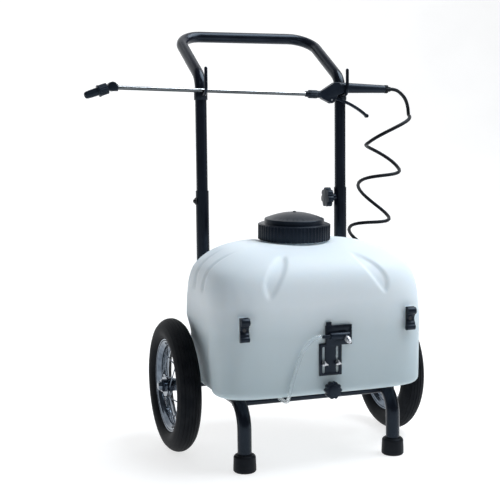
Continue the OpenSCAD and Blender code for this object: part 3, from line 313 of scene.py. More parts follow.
along, _, painted_shade_z = drawn.axes(drawn.place())
LANCE_SLOPE, LANCE_LEVEL = math.radians(1.5), 0.85215
# painted highlight and painted shade: height is the point's height across the lance, so the colour
# is lighter on top and darker on the underside
height = painted_shade_z * math.cos(LANCE_SLOPE) + along * math.sin(LANCE_SLOPE) - LANCE_LEVEL
finishes["aluminium"] = drawn.feed(
    Base_Color=drawn.ramp(height * 100 + lines * 0.1 + 0.45, (0.25, (0.09, 0.10, 0.105)),
                          (0.6, (0.34, 0.36, 0.38)), (0.9, (0.50, 0.52, 0.54))),
    Roughness=lines * 0.18 + 0.14,
    Normal=drawn.bump(lines, 0.08, mm(0.05)),
)
oiled = Finish("dark_steel", Metallic=0.6)
film = oiled.noise(120, 4)
finishes["dark_steel"] = oiled.feed(
    Base_Color=oiled.ramp(film, (0.3, (0.02, 0.02, 0.022)), (0.7, (0.05, 0.05, 0.054))),
    Roughness=film * 0.2 + 0.3,
    Normal=oiled.bump(film, 0.1, mm(0.1)),
)

# %% [markdown]
# ## The small plastics
#
# The clear feed tube, the red rocker, the white nylon bushes and the battery's case are seen
# from the back or in small areas. Each still gets its own variation, so none is one flat colour.

# %% Clear tube, red rocker, nylon, battery case
clear = Finish("clear_hose", Transmission_Weight=0.75, IOR=1.42, Alpha=0.5)
swirl = clear.noise(45, 3)
finishes["clear_hose"] = clear.feed(
    Base_Color=clear.ramp(swirl, (0.3, (0.70, 0.78, 0.82)), (0.7, (0.86, 0.92, 0.94))),
    Roughness=swirl * 0.15 + 0.08,
)
for name, low, high, rough in (
    ("red_plastic", (0.38, 0.012, 0.012), (0.52, 0.02, 0.018), 0.25),
    ("white_plastic", (0.72, 0.72, 0.68), (0.82, 0.82, 0.79), 0.4),
    ("battery_case", (0.05, 0.05, 0.055), (0.075, 0.075, 0.08), 0.45),
):
    small = Finish(name)
    fleck = small.noise(80, 4)
    finishes[name] = small.feed(
        Base_Color=small.ramp(fleck, (0.3, low), (0.7, high)),
        Roughness=fleck * 0.15 + rough,
        Normal=small.bump(small.noise(1200), 0.15, mm(0.1)),
    )

# %% [markdown]
# ## Milky tank plastic
#
# The tank is blow moulded in natural polyethylene. Light goes a few millimetres into it, which
# softens every edge and gives shadows a cool tint, and the skin has a slow waviness where the
# parison met the cold mould. The colour is painted darker towards the floor and lighter towards
# the crown: painted light on the shoulders and painted shade on the upright sides.

# %% Tank plastic
milk = Finish("tank_plastic", Subsurface_Weight=0.35, Subsurface_Scale=0.012, IOR=1.5,
              Specular_IOR_Level=0.3)
milk.shader.inputs["Subsurface Radius"].default_value = (0.8, 1.0, 1.2)
flow = milk.noise(9, 3, milk.place(scale=(1, 1, 0.4)))
pores = milk.noise(260, 3)
painted_shade_z = milk.axes(milk.place())[2]
# painted light and painted shade: the base colour grows lighter with height, so the shoulders look
# lit from above and the sides look shaded
finishes["tank_plastic"] = milk.feed(
    Base_Color=milk.ramp(painted_shade_z * 2.9 + flow * 0.12 - 0.55, (0.0, (0.44, 0.53, 0.57)),
                         (0.4, (0.56, 0.65, 0.70)), (0.6, (0.74, 0.83, 0.90))),
    Roughness=flow * 0.12 + pores * 0.08 + 0.38,
    Normal=milk.bump(pores * 0.3 + flow, 0.12, mm(0.6)),
)
print("finishes", sorted(finishes))

# %% [markdown]
# ## Dress the exact solids
#
# The record names a finish for each CAD node. A node whose shape is already right keeps its
# mesh and gets the new material in its material slot.

# %% Give each CAD node its finish
for part in record["subparts"]:
    node = frame["nodes"][part["node"]]
    node.data.materials.clear()
    node.data.materials.append(finishes[part["material_slot"]])
print("dressed", len(record["subparts"]), "nodes")
# %% [markdown]
# ## The studio
#
# A product like this is shown on a pale sweep under large soft lights. The sweep is one sheet:
# a wide floor whose far edge is pulled up into a wall, with the corner rounded so that no line
# shows. A broad lamp overhead makes the tank's shoulders brighter than its sides, two small
# ones in front draw the narrow highlights down the tubes, one behind lights the wall, and the
# world fills the shadows.

# %% Floor sweep
bpy.context.scene.view_settings.view_transform = "Standard"
bpy.ops.object.select_all(action="DESELECT")
bpy.ops.mesh.primitive_plane_add(size=1, location=(0.8, -0.5, 0))
floor = bpy.context.object
floor.name = "floor"
floor.scale = (16, 9, 1)
bpy.ops.object.transform_apply(location=True, rotation=True, scale=True)
bpy.ops.object.mode_set(mode="EDIT")
bpy.ops.mesh.select_mode(type="EDGE")
bpy.ops.mesh.select_all(action="DESELECT")
bpy.ops.object.mode_set(mode="OBJECT")
for edge in floor.data.edges:
    edge.select = all(floor.data.vertices[i].co.y > 3 for i in edge.vertices)
bpy.ops.object.mode_set(mode="EDIT")
bpy.ops.mesh.extrude_region_move(TRANSFORM_OT_translate={"value": (0, 0, 7)})
bpy.ops.mesh.select_all(action="SELECT")
bpy.ops.object.mode_set(mode="OBJECT")
bend = floor.modifiers.new("bend", "BEVEL")
bend.width, bend.segments = 2.2, 16
bend.limit_method, bend.angle_limit = "ANGLE", 0.5
bpy.ops.object.modifier_apply(modifier="bend")
bpy.ops.object.shade_smooth()
paper = Finish("floor_paper", Emission_Strength=0.72)
fibre = paper.noise(3, 3)
floor.data.materials.append(paper.feed(
    Base_Color=paper.ramp(fibre, (0.3, (0.44, 0.44, 0.44)), (0.7, (0.47, 0.47, 0.47))),
    Emission_Color=paper.ramp(fibre, (0.3, (0.98, 0.98, 0.98)), (0.7, (1, 1, 1))),
    Roughness=fibre * 0.1 + 0.7,
))

# %% Lights
world = bpy.data.worlds.new("studio")
bpy.context.scene.world = world
world.use_nodes = True
sky = world.node_tree.nodes["Background"].inputs
sky["Color"].default_value = (0.78, 0.89, 1.0, 1)
sky["Strength"].default_value = 0.10


def lamp(name, place, target, size, power, tint=(1, 1, 1)):
    data = bpy.data.lights.new(name, "AREA")
    data.size, data.energy, data.color = size, power, tint
    thing = bpy.data.objects.new(name, data)
    bpy.context.collection.objects.link(thing)
    thing.location = place
    thing.rotation_euler = (Vector(target) - Vector(place)).to_track_quat("-Z", "Y").to_euler()
    return thing


middle = (0, 0, 0.45)
lamp("overhead", (1.5, -0.4, 3.0), (0.1, 0.0, 0.2), size=2.2, power=120, tint=(0.90, 0.95, 1.0))
lamp("key", (-1.2, -2.4, 2.6), middle, size=0.6, power=4, tint=(0.80, 0.90, 1.0))
lamp("fill", (2.4, -1.6, 1.4), middle, size=1.2, power=4, tint=(0.9, 0.95, 1.0))
lamp("backdrop", (0.4, 2.0, 3.2), (0.6, 3.8, 1.2), size=3.0, power=18)
# %% [markdown]
# ## Small tools for modelling
#
# Every new piece starts from a primitive, is shaped in edit mode, and ends as a mesh whose
# place is in its points. These helpers keep that tidy: one deselects and enters edit mode, one
# picks faces by a rule, one applies a modifier, and one hands the finished piece to the body
# that carries it.

# %% Modelling helpers
import bmesh
import numpy as np


def alone(piece):
    bpy.ops.object.select_all(action="DESELECT")
    piece.select_set(True)
    bpy.context.view_layer.objects.active = piece
    return piece


def named(name):
    piece = bpy.context.object
    piece.name = name
    piece.data.name = name
    return piece


def settle(piece):
    alone(piece)
    bpy.ops.object.transform_apply(location=True, rotation=True, scale=True)
    return piece


def pick(piece, rule, kind="FACE"):
    alone(piece)
    bpy.ops.object.mode_set(mode="EDIT")
    bpy.ops.mesh.select_mode(type=kind)
    bpy.ops.mesh.select_all(action="DESELECT")
    mesh = bmesh.from_edit_mesh(piece.data)
    chosen = {"FACE": mesh.faces, "EDGE": mesh.edges, "VERT": mesh.verts}[kind]
    for element in chosen:
        if rule(element):
            element.select_set(True)
    mesh.select_flush_mode()
    bmesh.update_edit_mesh(piece.data)


def leave(piece):
    bpy.ops.object.mode_set(mode="OBJECT")
    return piece


def modify(piece, kind, **settings):
    alone(piece)
    step = piece.modifiers.new(kind.lower(), kind)
    for key, value in settings.items():
        setattr(step, key, value)
    bpy.ops.object.modifier_apply(modifier=step.name)
    return piece


def carve(piece, tool, how="DIFFERENCE"):
    modify(piece, "BOOLEAN", operation=how, object=tool, solver="MANIFOLD")
    bpy.data.objects.remove(tool)
    return piece


def smooth(piece, degrees=35):
    alone(piece)
    bpy.ops.object.shade_smooth_by_angle(angle=math.radians(degrees))
    return piece


def facing_out(piece):
    alone(piece)
    bpy.ops.object.mode_set(mode="EDIT")
    bpy.ops.mesh.select_all(action="SELECT")
    bpy.ops.mesh.remove_doubles(threshold=1e-6)
    bpy.ops.mesh.normals_make_consistent(inside=False)
    bpy.ops.object.mode_set(mode="OBJECT")
    return piece


def hand_over(piece, body, finish, *nodes):
    piece.data.materials.clear()
    piece.data.materials.append(finishes[finish])
    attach(piece, body)
    if nodes:
        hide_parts(*nodes)
    faces = len(piece.data.polygons)
    print(f"{piece.name}: {faces} faces on {body}")
    return piece


def box_at(low, high):
    bpy.ops.mesh.primitive_cube_add(size=1, location=(at(*low) + at(*high)) / 2)
    block = bpy.context.object
    block.scale = at(*high) - at(*low)
    return settle(block)


def drum_at(middle, radius, height, axis="Z", around=48):
    turn = {"X": (0, math.pi / 2, 0), "Y": (math.pi / 2, 0, 0), "Z": (0, 0, 0)}[axis]
    bpy.ops.mesh.primitive_cylinder_add(
        vertices=around, radius=mm(radius), depth=mm(height), location=at(*middle), rotation=turn)
    return settle(bpy.context.object)


# %% [markdown]
# ## The tank
#
# The tank is one blown shell. Its plan is a rounded rectangle that grows rounder towards the
# crown, its sides stand upright with a little flare, and the shoulders roll over into a crown
# that slopes forward. A box with bevels can't do that, so a flat grid is rolled round a formula
# instead: each column of the grid goes round the tank, each row is one level. The rows and
# columns are spaced by arc length, because equal angles would leave the flat sides bare and
# crowd the corners. The mould makes room for the tyres: ahead of them and above them the sides
# swell out by a few millimetres.

# %% The moulding's formula
WIDE, BASE_WIDE, HALF = 249, 242, 164
LIFT, EDGE, SHOULDER, TALL = 5.4, 16, 165, 335
TANK_FLOOR, TANK_MIDDLE, CROWN_TILT = 165.3, 109, math.radians(3)
SLOPE = math.tan(CROWN_TILT)
PLAN_AT_BASE, PLAN_AT_SHOULDER, PLAN_AT_CROWN = 6, 5, 3
RISE_ROUND, SIDE_ROUND, FRONT_ROUND, BACK_ROUND = 4.2, 4.1, 2.2, 4.9


def level_form(station, inset):
    foot = LIFT + EDGE
    if station <= 1:
        lift = math.radians(90 * station)
        drawn = (EDGE - inset) * (1 - math.sin(lift))
        half = HALF - inset - drawn
        level = LIFT + (EDGE - inset) * (1 - math.cos(lift)) + inset
        return BASE_WIDE - inset - drawn, half, half, PLAN_AT_BASE, level, 0
    half = HALF - inset
    if station <= 2:
        part = station - 1
        return (BASE_WIDE - inset + (WIDE - BASE_WIDE) * part, half, half,
                PLAN_AT_BASE + (PLAN_AT_SHOULDER - PLAN_AT_BASE) * part,
                foot + (SHOULDER - foot) * part, 0)
    roll_over = math.radians(min(90 * (station - 2), 89.9))
    rise = math.sin(roll_over) ** (2 / RISE_ROUND)
    fall = math.cos(roll_over)
    return ((WIDE - inset) * fall ** (2 / SIDE_ROUND),
            half * fall ** (2 / FRONT_ROUND), half * fall ** (2 / BACK_ROUND),
            PLAN_AT_SHOULDER + (PLAN_AT_CROWN - PLAN_AT_SHOULDER) * rise,
            SHOULDER + (TALL - inset - SHOULDER) * rise, rise)


def eased(t):
    t = np.clip(t, 0, 1)
    return t * t * (3 - 2 * t)


SWELL, SWELL_EASE = 0.036, 50
TYRE_FRONT, TYRE_TOP, SWELL_TOP = 70, 285, 440


def swell(y, z):
    ahead_of_tyre = eased((TYRE_FRONT - y) / SWELL_EASE)
    above_tyre = eased((z - TYRE_TOP) / SWELL_EASE)
    fading = 1 - eased((z - SWELL_TOP) / SWELL_EASE)
    return 1 + SWELL * np.maximum(ahead_of_tyre, above_tyre) * fading


def tank_skin(stations, angles, inset=0):
    rows = []
    c, s = np.cos(angles), np.sin(angles)
    for station in stations:
        wide, front, back, n, z, rise = level_form(station, inset)
        y = np.sign(s) * np.abs(s) ** (2 / n) * np.where(s < 0, front, back)
        x = wide * np.sign(c) * np.abs(c) ** (2 / n)
        y, z = y + TANK_MIDDLE, z + rise * SLOPE * y + TANK_FLOOR
        rows.append(np.stack([x * swell(y, z), y, z], -1))
    return np.array(rows)


def evenly(points, values, count):
    steps = np.linalg.norm(np.diff(points, axis=0), axis=1)
    run = np.concatenate([[0], np.cumsum(steps)])
    return np.interp(np.linspace(0, run[-1], count + 1), run, values)


fine = np.linspace(0, 3, 1200)
levels = [level_form(station, 0) for station in fine]
profile = np.array([[(form[0] + form[1]) * 0.5, form[4]] for form in levels])
turns = np.linspace(0, 2 * math.pi, 4001)
profile_run = np.linalg.norm(np.diff(profile, axis=0), axis=1).sum()
print("the moulding's profile is", round(float(profile_run)), "mm from floor to crown")

# %% [markdown]
# ## Troughs and flutes
#
# The mould sinks a leaf-shaped trough into each front shoulder and three flutes into each side
# shoulder. They are a few millimetres deep and stiffen the shell. On the rolled grid they are
# simply a distance that each point moves inwards along the surface's normal: for the leaf, how
# far inside its outline the point lies, for a flute, how far from its middle line. A shallow
# dish round the filler neck drains spilt liquid away from the thread.

# %% How deep the mould presses at each point
LEAF_DEPTH, FLUTE_DEPTH, DISH_DEPTH, DISH_ABOVE = 4.6, 3.6, 4.5, 440
FLUTES, FLUTE_LOW, FLUTE_HIGH = (69, 131, 191), 402, 486
NECK_AT, NECK_R, NECK_BORE = (0, 155, 502.3), 79, 74
leaf = np.array([(79, 480), (92, 480), (107, 474), (121, 465), (134, 453), (144, 440), (151, 425),
                 (150, 408), (146, 397), (139, 389), (128, 399), (116, 417), (104, 434), (92, 452),
                 (82, 468)], float)


def inside_leaf(x, z):
    gap = np.full(x.shape, 1e9)
    inside = np.zeros(x.shape, bool)
    for (x0, z0), (x1, z1) in zip(leaf, np.roll(leaf, -1, axis=0)):
        length_squared = (x1 - x0) ** 2 + (z1 - z0) ** 2
        t = np.clip(((x - x0) * (x1 - x0) + (z - z0) * (z1 - z0)) / length_squared, 0, 1)
        gap = np.minimum(gap, np.hypot(x - x0 - t * (x1 - x0), z - z0 - t * (z1 - z0)))
        crosses = (z0 > z) != (z1 > z)
        inside ^= crosses & (x < (x1 - x0) * (z - z0) / (z1 - z0 + 1e-9) + x0)
    return np.where(inside, gap, -gap)


def pressed(points):
    x, y, z = np.abs(points[..., 0]), points[..., 1], points[..., 2]
    front = y < 60
    depth = np.where(front, LEAF_DEPTH * eased((inside_leaf(x, z) + 1.5) / 9), 0)
    dish = DISH_DEPTH * (1 - eased((np.hypot(x, y - NECK_AT[1]) - NECK_R - 3) / 20))
    depth = depth + np.where(z > DISH_ABOVE, dish, 0)
    for middle in FLUTES:
        along = (FLUTE_HIGH - z) / (FLUTE_HIGH - FLUTE_LOW)
        half = 5 + 6 * np.clip(along, 0, 1)
        across = np.clip(1 - ((y - middle) / half) ** 2, 0, None)
        ends = eased((z - FLUTE_LOW + 4) / 7) * eased((FLUTE_HIGH + 4 - z) / 18)
        depth = depth + np.where((x > 120), FLUTE_DEPTH * across * ends, 0)
    return depth


# %% Roll the grid
def rolled(name, around, rows, inset=0):
    angles = evenly(tank_skin([2.3], turns)[0], turns, around)[:-1] + 1e-4
    stations = evenly(profile, fine, rows)
    skin_points = tank_skin(stations, angles, inset)
    side = np.roll(skin_points, -1, axis=1) - np.roll(skin_points, 1, axis=1)
    rise = np.gradient(skin_points, axis=0)
    normal = np.cross(side, rise)
    normal /= np.maximum(np.linalg.norm(normal, axis=-1, keepdims=True), 1e-9)
    skin_points = skin_points - normal * pressed(skin_points)[..., None]
    bpy.ops.object.select_all(action="DESELECT")
    bpy.ops.mesh.primitive_grid_add(x_subdivisions=around, y_subdivisions=rows, size=2)
    shell = named(name)
    for vertex in shell.data.vertices:
        column = round((vertex.co.x + 1) / 2 * around) % around
        row = round((vertex.co.y + 1) / 2 * rows)
        vertex.co = at(*skin_points[row, column])
    facing_out(shell)
    pick(shell, lambda e: e.is_boundary, "EDGE")
    bpy.ops.mesh.edge_face_add()
    leave(shell)
    return facing_out(shell)


tank = rolled("tank_shell", 300, 110)
print("outer skin", len(tank.data.vertices), "points")

# %% [markdown]
# ## Pads, neck and openings
#
# Pads for the two clips and a boss for the drain are added, then the inside is taken out with
# the same formula drawn in by the wall, the filler neck is bored, and a notch is cut at each
# back corner of the floor, where a side tube bends upwards.

# %% Add and cut
def neck_drum(radius, low, high, around=96):
    bpy.ops.mesh.primitive_cylinder_add(vertices=around, radius=mm(radius), depth=mm(high - low))
    drum = bpy.context.object
    tilt = Matrix.Rotation(CROWN_TILT, 4, "X")
    drum.matrix_world = Matrix.Translation(at(*NECK_AT)) @ tilt @ Matrix.Translation(
        (0, 0, mm((low + high) / 2)))
    return settle(drum)


CLIP_X, TUBE_X, TUBE_ROOM = 200, 184, 16.5
DRAIN_Z, WALL = 184.3, 4
for x in (-CLIP_X, CLIP_X):
    pad = box_at((x - 10, -49, 302.3), (x + 10, -36, 356.3))
    modify(pad, "BEVEL", width=mm(2), segments=3)
    carve(tank, pad, "UNION")
carve(tank, drum_at((0, -48, DRAIN_Z), 13, 22, "Y"), "UNION")
carve(tank, neck_drum(NECK_R, -30, 31.6), "UNION")
carve(tank, rolled("hollow", 150, 64, inset=WALL))
carve(tank, neck_drum(NECK_BORE, -50, 40))
carve(tank, drum_at((0, -43, DRAIN_Z), 8, 34, "Y"))
carve(tank, drum_at((106, 271, 196.3), 8.2, 23, "Y"))
for x in (-TUBE_X, TUBE_X):
    notch = box_at((x - TUBE_ROOM, 225, 160), (x + TUBE_ROOM, 280, 229))
    carve(notch, drum_at((x, 225, 224), 53.7, 60, "X", 96))
    carve(tank, notch)
smooth(tank, 40)
hand_over(tank, "frame", "tank_plastic", "tank_lower_left", "tank_lower_right", "tank_upper_left",
          "tank_upper_right", "filler_neck")
# %% [markdown]
# ## Hoses
#
# Three hoses belong to the cart. The curly one hangs from the gun in long lazy curls and ends
# at the pump's outlet behind the tank. It is made in two lengths, because its first hand's
# breadth moves with the gun while the curls stretch with the handle. The clear one feeds the
# front nozzle and runs under the tank. Each follows a smooth curve through its given points,
# so the tube is a curve with a round bevel, turned into a mesh.

# %% Routes
def between(t, *stops):
    return float(np.interp(t, [s[0] for s in stops], [s[1] for s in stops]))


CURL_R, CURLS = 48, 6.5


def curl_point(t):
    x = between(t, (0, 327), (0.5, 312), (1, 306), (1.5, 299), (2, 285), (2.5, 280), (4, 258),
                (6.5, 252))
    y = between(t, (0, 288), (2.5, 330), (4, 362), (6.5, 366))
    z = between(t, (0, 797), (1, 675), (2, 552), (3, 436), (4, 405), (6.5, 338))
    tilt = between(t, (0, 0), (0.5, 10), (1, -14), (2.5, -18), (4, 0), (6.5, 0))
    turn = 2 * math.pi * t
    return (x + CURL_R * math.cos(turn), y - CURL_R * math.sin(turn), z + tilt * math.cos(turn))


def through(points, steps):
    p = [Vector(q) for q in points]
    path = []
    for i in range(len(p) - 1):
        a, b, c, d = p[max(i - 1, 0)], p[i], p[i + 1], p[min(i + 2, len(p) - 1)]
        for s in range(steps):
            t = s / steps
            path.append(0.5 * (2 * b + (c - a) * t + (2 * a - 5 * b + 4 * c - d) * t * t
                               + (3 * b - a - 3 * c + d) * t ** 3))
    return path + [p[-1]]


def run_of(path):
    return sum((b - a).length for a, b in zip(path, path[1:]))


def tube(name, path, radius, sides=12, ends=True):
    bpy.ops.object.select_all(action="DESELECT")
    line = bpy.data.curves.new(name, "CURVE")
    line.dimensions, line.bevel_depth, line.use_fill_caps = "3D", mm(radius), ends
    line.bevel_resolution = max(1, sides // 4 - 1) if sides > 8 else 1
    spline = line.splines.new("POLY")
    spline.points.add(len(path) - 1)
    for point, place in zip(spline.points, path):
        point.co = (*place, 1)
    thing = bpy.data.objects.new(name, line)
    bpy.context.collection.objects.link(thing)
    alone(thing)
    bpy.ops.object.convert(target="MESH")
    thing = named(name)
    facing_out(thing)
    return smooth(thing, 60)


LANCE_Y, LANCE_Z, GUN_END, GRIP_MIDDLE = 266.5, 855.3, 478, 18.64


def lance_place(x, y, z):
    return (-TUBE_X + x * math.cos(LANCE_SLOPE) + z * math.sin(LANCE_SLOPE), LANCE_Y + y,
            LANCE_Z - x * math.sin(LANCE_SLOPE) + z * math.cos(LANCE_SLOPE))


top = [lance_place(GUN_END + 16.3, 0, GRIP_MIDDLE), lance_place(GUN_END + 25.3, 0, GRIP_MIDDLE),
       (336, 270, 856), (358, 278, 840), (372, 288, 820), curl_point(0)]
whole_top = through([at(*p) for p in top], 8)
tail = [(190, 372, 318), (178, 368, 300), (172, 364.8, 263.6), (172, 364.8, 251.6),
        (172, 364.8, 242)]
LEAD_END, STEPS_PER_CURL = 24, 24
lead_path = whole_top[:LEAD_END + 1]
curl_path = whole_top[LEAD_END:-1]
curl_path += [at(*curl_point(i / STEPS_PER_CURL)) for i in range(int(CURLS * STEPS_PER_CURL) + 1)]
curl_path += through([at(*curl_point(CURLS))] + [at(*p) for p in tail], 5)[1:]
print("curly hose", round(run_of(curl_path), 3), "m, its lead", round(run_of(lead_path), 3), "m")

# %% Curly hose and its lead
HOSE_R = 4.5
curly = tube("curly_hose_tube", curl_path, HOSE_R)
curly.data.materials.append(finishes["black_rubber"])
at(252, 366, 338)
at(327, 288, 797)
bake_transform(curly)
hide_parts("curly_hose")
round(run_of(curl_path), 3)
lead = tube("hose_lead_tube", lead_path, HOSE_R)
lead.data.materials.append(finishes["black_rubber"])
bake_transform(lead)
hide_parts("hose_lead")
round(run_of(lead_path), 3)

# %% Feed hose
feed_points = [
    (-26.5, -70.6, 305.3), (-36, -70.6, 305.3), (-50, -68, 298), (-68, -64, 275), (-82, -62, 240),
    (-94, -62, 205), (-100, -61, 180), (-102, -55, 165), (-102, -34, 160.2), (-100, 10, 160.2),
    (-92, 60, 160.2), (-70, 130, 157), (-20, 185, 147), (50, 225, 144), (110, 275, 144),
    (150, 325, 150), (170, 352.8, 172), (172, 364.8, 190), (172, 364.8, 199.6), (172, 364.8, 209.3)]
feed_path = through([at(*p) for p in feed_points], 5)
feed = tube("feed_hose_tube", feed_path, HOSE_R)
feed.data.materials.append(finishes["clear_hose"])
at(-50, -68, 298)
at(-102, -55, 165)
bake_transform(feed)
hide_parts("feed_hose")
round(run_of(feed_path), 3)
print("feed hose", round(run_of(feed_path), 3), "m")

# %% [markdown]
# ## The handle
#
# One length of tube is bent four times: back over the user's hands, and round into the grip
# bar. The exact model builds each bend from short straight lengths. A curve through the same
# middle line gives a bend without corners, and Solidify gives the tube its wall, so its open
# lower ends inside the sleeves look right when the handle is pulled out.

# %% The handle's middle line
LEAN, LEAN_R, CORNER_R = math.radians(60), 50, 62
TUBE_Y, GRIP_REACH, GRIP_Z, HANDLE_FOOT = 295, 203, 1004, 430
lean_z = GRIP_Z - GRIP_REACH / math.tan(LEAN)
lean_foot = lean_z - LEAN_R * math.tan(LEAN / 2)
bar_run = GRIP_REACH / math.sin(LEAN) - CORNER_R


def handle_right():
    line = [(TUBE_X, TUBE_Y, z) for z in (HANDLE_FOOT, 600, lean_foot - 40, lean_foot - 2)]
    for step in range(13):
        a = LEAN * step / 12
        line.append((TUBE_X, TUBE_Y + LEAN_R * (1 - math.cos(a)),
                     lean_foot + LEAN_R * math.sin(a)))
    for step in range(17):
        a = math.pi / 2 * step / 16
        run = bar_run + CORNER_R * math.sin(a)
        line.append((TUBE_X - CORNER_R * (1 - math.cos(a)), TUBE_Y + run * math.sin(LEAN),
                     lean_z + run * math.cos(LEAN)))
    return line


half_line = handle_right()
whole_line = half_line + [(-x, y, z) for x, y, z in reversed(half_line)]
HANDLE_R, HANDLE_WALL = 14, 1.8
grip = tube("handle_bar", [at(*p) for p in whole_line], HANDLE_R, sides=36, ends=False)
modify(grip, "SOLIDIFY", thickness=mm(HANDLE_WALL), offset=-1)
facing_out(grip)
smooth(grip, 50)
hand_over(grip, "handle", "black_paint", "handle_tube")

# %% [markdown]
# ## Tyres
#
# A tyre is a section carried once round the axle, so it is made with Spin. The section starts
# as a circle of points. Its outer third is pressed flatter for the tread, ribs are left between
# shallow grooves, a raised line marks the shoulder, and the sidewalls turn in below their widest
# place to the beads, which grip a rim much narrower than the tyre. One tyre is modelled and
# copied to the other side.

# %% Tyre section
WHEEL_X, AXLE_Y, AXLE_Z, WHEEL_R, HALF_TYRE = 284, 220, 158.5, 158.5, 28.5
GROOVES, GROOVE_HALF, GROOVE_DEPTH = (-15, -7.5, 0, 7.5, 15), 1.1, 1.2
SHOULDER_LINE, LINE_HALF, LINE_RAISED = 24.0, 1.6, 0.7


def tyre_section(turn):
    across, out = HALF_TYRE * math.sin(turn), HALF_TYRE * math.cos(turn)
    radius = WHEEL_R - HALF_TYRE + (out if out > 0 else 0.86 * out)
    if out > 6:
        radius -= 0.9 * eased((abs(across) - 6) / 20)
    for groove in GROOVES:
        near = 1 - min(abs(across - groove) / GROOVE_HALF, 1)
        if out > 12:
            radius -= GROOVE_DEPTH * eased(near * 1.6)
    if out > 2:
        from_line = abs(abs(across) - SHOULDER_LINE)
        radius += LINE_RAISED * (1 - min(from_line / LINE_HALF, 1))
    return across, radius


side = [tyre_section(math.radians(step * 1.16)) for step in range(-126, 127)]
inner = [(14.2, 104.5), (14.6, 112), (21.5, 120), (22.5, 131), (17, 145), (0, 150.5),
         (-17, 145), (-22.5, 131), (-21.5, 120), (-14.6, 112), (-14.2, 104.5)]
outline = [(-15.6, 105.5)] + side + [(15.6, 105.5)] + inner
print("tyre section", len(outline), "points")

# %% Spin the tyre
def spun(name, ring, steps):
    bpy.ops.object.select_all(action="DESELECT")
    bpy.ops.mesh.primitive_circle_add(vertices=len(ring), radius=0.01)
    piece = settle(named(name))
    for vertex, (across, radius) in zip(piece.data.vertices, ring):
        vertex.co = at(-WHEEL_X + across, AXLE_Y, AXLE_Z + radius)
    pick(piece, lambda v: True, "VERT")
    bpy.ops.mesh.spin(steps=steps, angle=2 * math.pi, center=at(-WHEEL_X, AXLE_Y, AXLE_Z),
                      axis=(1, 0, 0))
    leave(piece)
    return facing_out(piece)


left_tyre = smooth(spun("tyre_tread_left", outline, steps=168), 38)


def other_side(piece, name):
    twin = piece.copy()
    twin.data = piece.data.copy()
    twin.name = twin.data.name = name
    bpy.context.collection.objects.link(twin)
    shift = 2 * mm(CART_X)
    twin.data.transform(Matrix.Translation((shift, 0, 0)) @ Matrix.Scale(-1, 4, (1, 0, 0)))
    return facing_out(twin)


right_tyre = smooth(other_side(left_tyre, "tyre_tread_right"), 38)
hand_over(left_tyre, "wheel_left", "tyre", "tyre_left")
hand_over(right_tyre, "wheel_right", "tyre", "tyre_right")

# %% [markdown]
# ## Rims
#
# A wire-spoked rim is a strip of sheet steel rolled into a channel: a flat well in the middle
# where the spokes' nipples sit, a step up on both sides, and two flanges under the tyre's beads.
# The strip's middle line is offset by half the sheet's thickness to both sides and spun like the
# tyre. It is narrower than the exact model's rim, which fills the tyre to its full width.

# %% Rim sheet and spin
def strip(path, thick):
    path = [Vector((a, r, 0)) for a, r in path]
    sides = ([], [])
    for i, point in enumerate(path):
        run = (path[min(i + 1, len(path) - 1)] - path[max(i - 1, 0)]).normalized()
        out = Vector((-run.y, run.x, 0)) * thick / 2
        sides[0].append((point + out)[:2])
        sides[1].append((point - out)[:2])
    return sides[0] + sides[1][::-1]


half_rim = [(15.9, 110.6), (15.4, 109.6), (14.9, 107), (14.5, 103.5), (13.2, 101.2), (11.4, 99.6),
            (9.8, 97.6), (8.4, 95.4), (6.8, 94.4), (4, 94.3)]
rim_line = half_rim + [(0, 94.3)] + [(-a, r) for a, r in reversed(half_rim)]
SHEET = 1.5
rim_outline = strip(rim_line, SHEET)

left_rim = smooth(spun("rim_channel_left", rim_outline, steps=144), 45)
right_rim = smooth(other_side(left_rim, "rim_channel_right"), 45)
hand_over(left_rim, "wheel_left", "chrome", "rim_left")
hand_over(right_rim, "wheel_right", "chrome", "rim_right")

# %% [markdown]
# ## Edges that catch the light
#
# No moulded, cast or bent part has a knife edge: each corner has a small radius, and that
# radius is what draws a bright line along the part. The exact solids leave most of these tiny
# radii out. For each such part a copy is taken, its loose triangles are merged, flat faces are
# joined into one face each, and a Bevel modifier rounds what is sharper than 30 degrees. Four
# small pieces are made a little slimmer on the way, about their own middle.

# %% A copy with rounded edges
SHARP = 30


def copy_of(node, name):
    source = frame["nodes"][node]
    twin = source.copy()
    twin.data = source.data.copy()
    twin.parent = None
    twin.name = twin.data.name = name
    for key in list(twin.keys()):
        del twin[key]
    bpy.context.collection.objects.link(twin)
    alone(twin)
    bpy.ops.object.mode_set(mode="EDIT")
    bpy.ops.mesh.select_all(action="SELECT")
    bpy.ops.mesh.remove_doubles(threshold=2e-6)
    bpy.ops.mesh.dissolve_limited(angle_limit=math.radians(0.6))
    bpy.ops.object.mode_set(mode="OBJECT")
    if twin.data.has_custom_normals:
        bpy.ops.mesh.customdata_custom_splitnormals_clear()
    return twin


def body_with(node):
    for body, members in record["behaviour"]["bodies"].items():
        if node in members:
            return body


def finish_of(node):
    return next(p["material_slot"] for p in record["subparts"] if p["node"] == node)


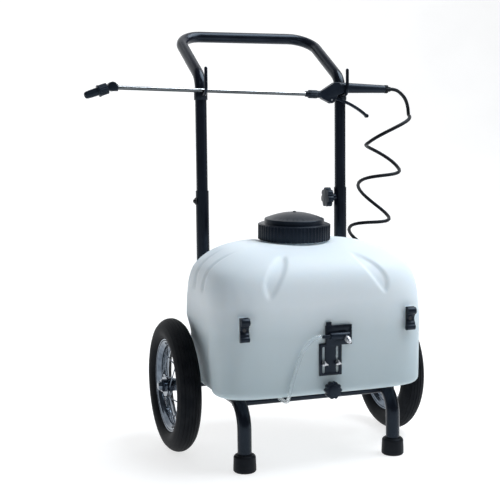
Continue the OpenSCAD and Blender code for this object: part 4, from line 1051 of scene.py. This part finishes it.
def resized(twin, factors):
    points = [vertex.co for vertex in twin.data.vertices]
    middle = Vector([(min(p[i] for p in points) + max(p[i] for p in points)) / 2 for i in range(3)])
    for point in points:
        for i in range(3):
            point[i] = middle[i] + (point[i] - middle[i]) * factors[i]


SLIMMED = {"drain_knob": (0.93, 1, 0.93), "fan_tip": (0.86, 1, 0.86),
           "wing_nut_left": (0.7, 1, 1), "wing_nut_right": (0.7, 1, 1)}


def rounded(node, width, segments=2):
    twin = copy_of(node, node + "_rounded")
    resized(twin, SLIMMED.get(node, (1, 1, 1)))
    step = twin.modifiers.new("round", "BEVEL")
    step.width, step.segments, step.limit_method = mm(width), segments, "ANGLE"
    step.angle_limit, step.use_clamp_overlap = math.radians(SHARP), True
    step.miter_outer = "MITER_ARC"
    bpy.ops.object.modifier_apply(modifier=step.name)
    smooth(twin, 32)
    return hand_over(twin, body_with(node), finish_of(node), node)


for node, width in (
    ("rubber_feet", 1.6), ("lance_clips", 0.9), ("slotted_bracket", 0.5),
    ("wing_nut_left", 0.5), ("wing_nut_right", 0.5), ("drain_knob", 0.9), ("drain_fitting", 0.5),
    ("lock_knob", 1.4), ("lance_hooks", 0.6), ("spray_head", 0.5),
    ("lance_elbow", 0.6), ("gun_nut", 0.5), ("hose_boot", 0.5), ("filler_cap", 0.6),
    ("pump_cover", 1.6), ("pump_tray", 0.8), ("power_switch", 0.8), ("switch_rocker", 0.5),
    ("outlet_tee", 0.5), ("fan_nozzle", 0.4), ("fan_tip", 0.4), ("axle_caps", 0.8),
):
    rounded(node, width)

# %% [markdown]
# ## The spray gun
#
# The gun's body is two half shells of soft form, more like a bar of soap than a machined part.
# A copy of the exact body is rebuilt from small even cells with Remesh, which welds the forms
# it was composed of, and then smoothed, so that they flow into each other.

# %% Gun body and trigger
def melted(node, cell, rounds):
    twin = copy_of(node, node + "_moulded")
    modify(twin, "REMESH", mode="VOXEL", voxel_size=mm(cell), use_smooth_shade=True)
    modify(twin, "SMOOTH", factor=0.5, iterations=rounds)
    return hand_over(twin, body_with(node), finish_of(node), node)


melted("gun_body", 1.0, 7)
melted("trigger", 0.8, 4)
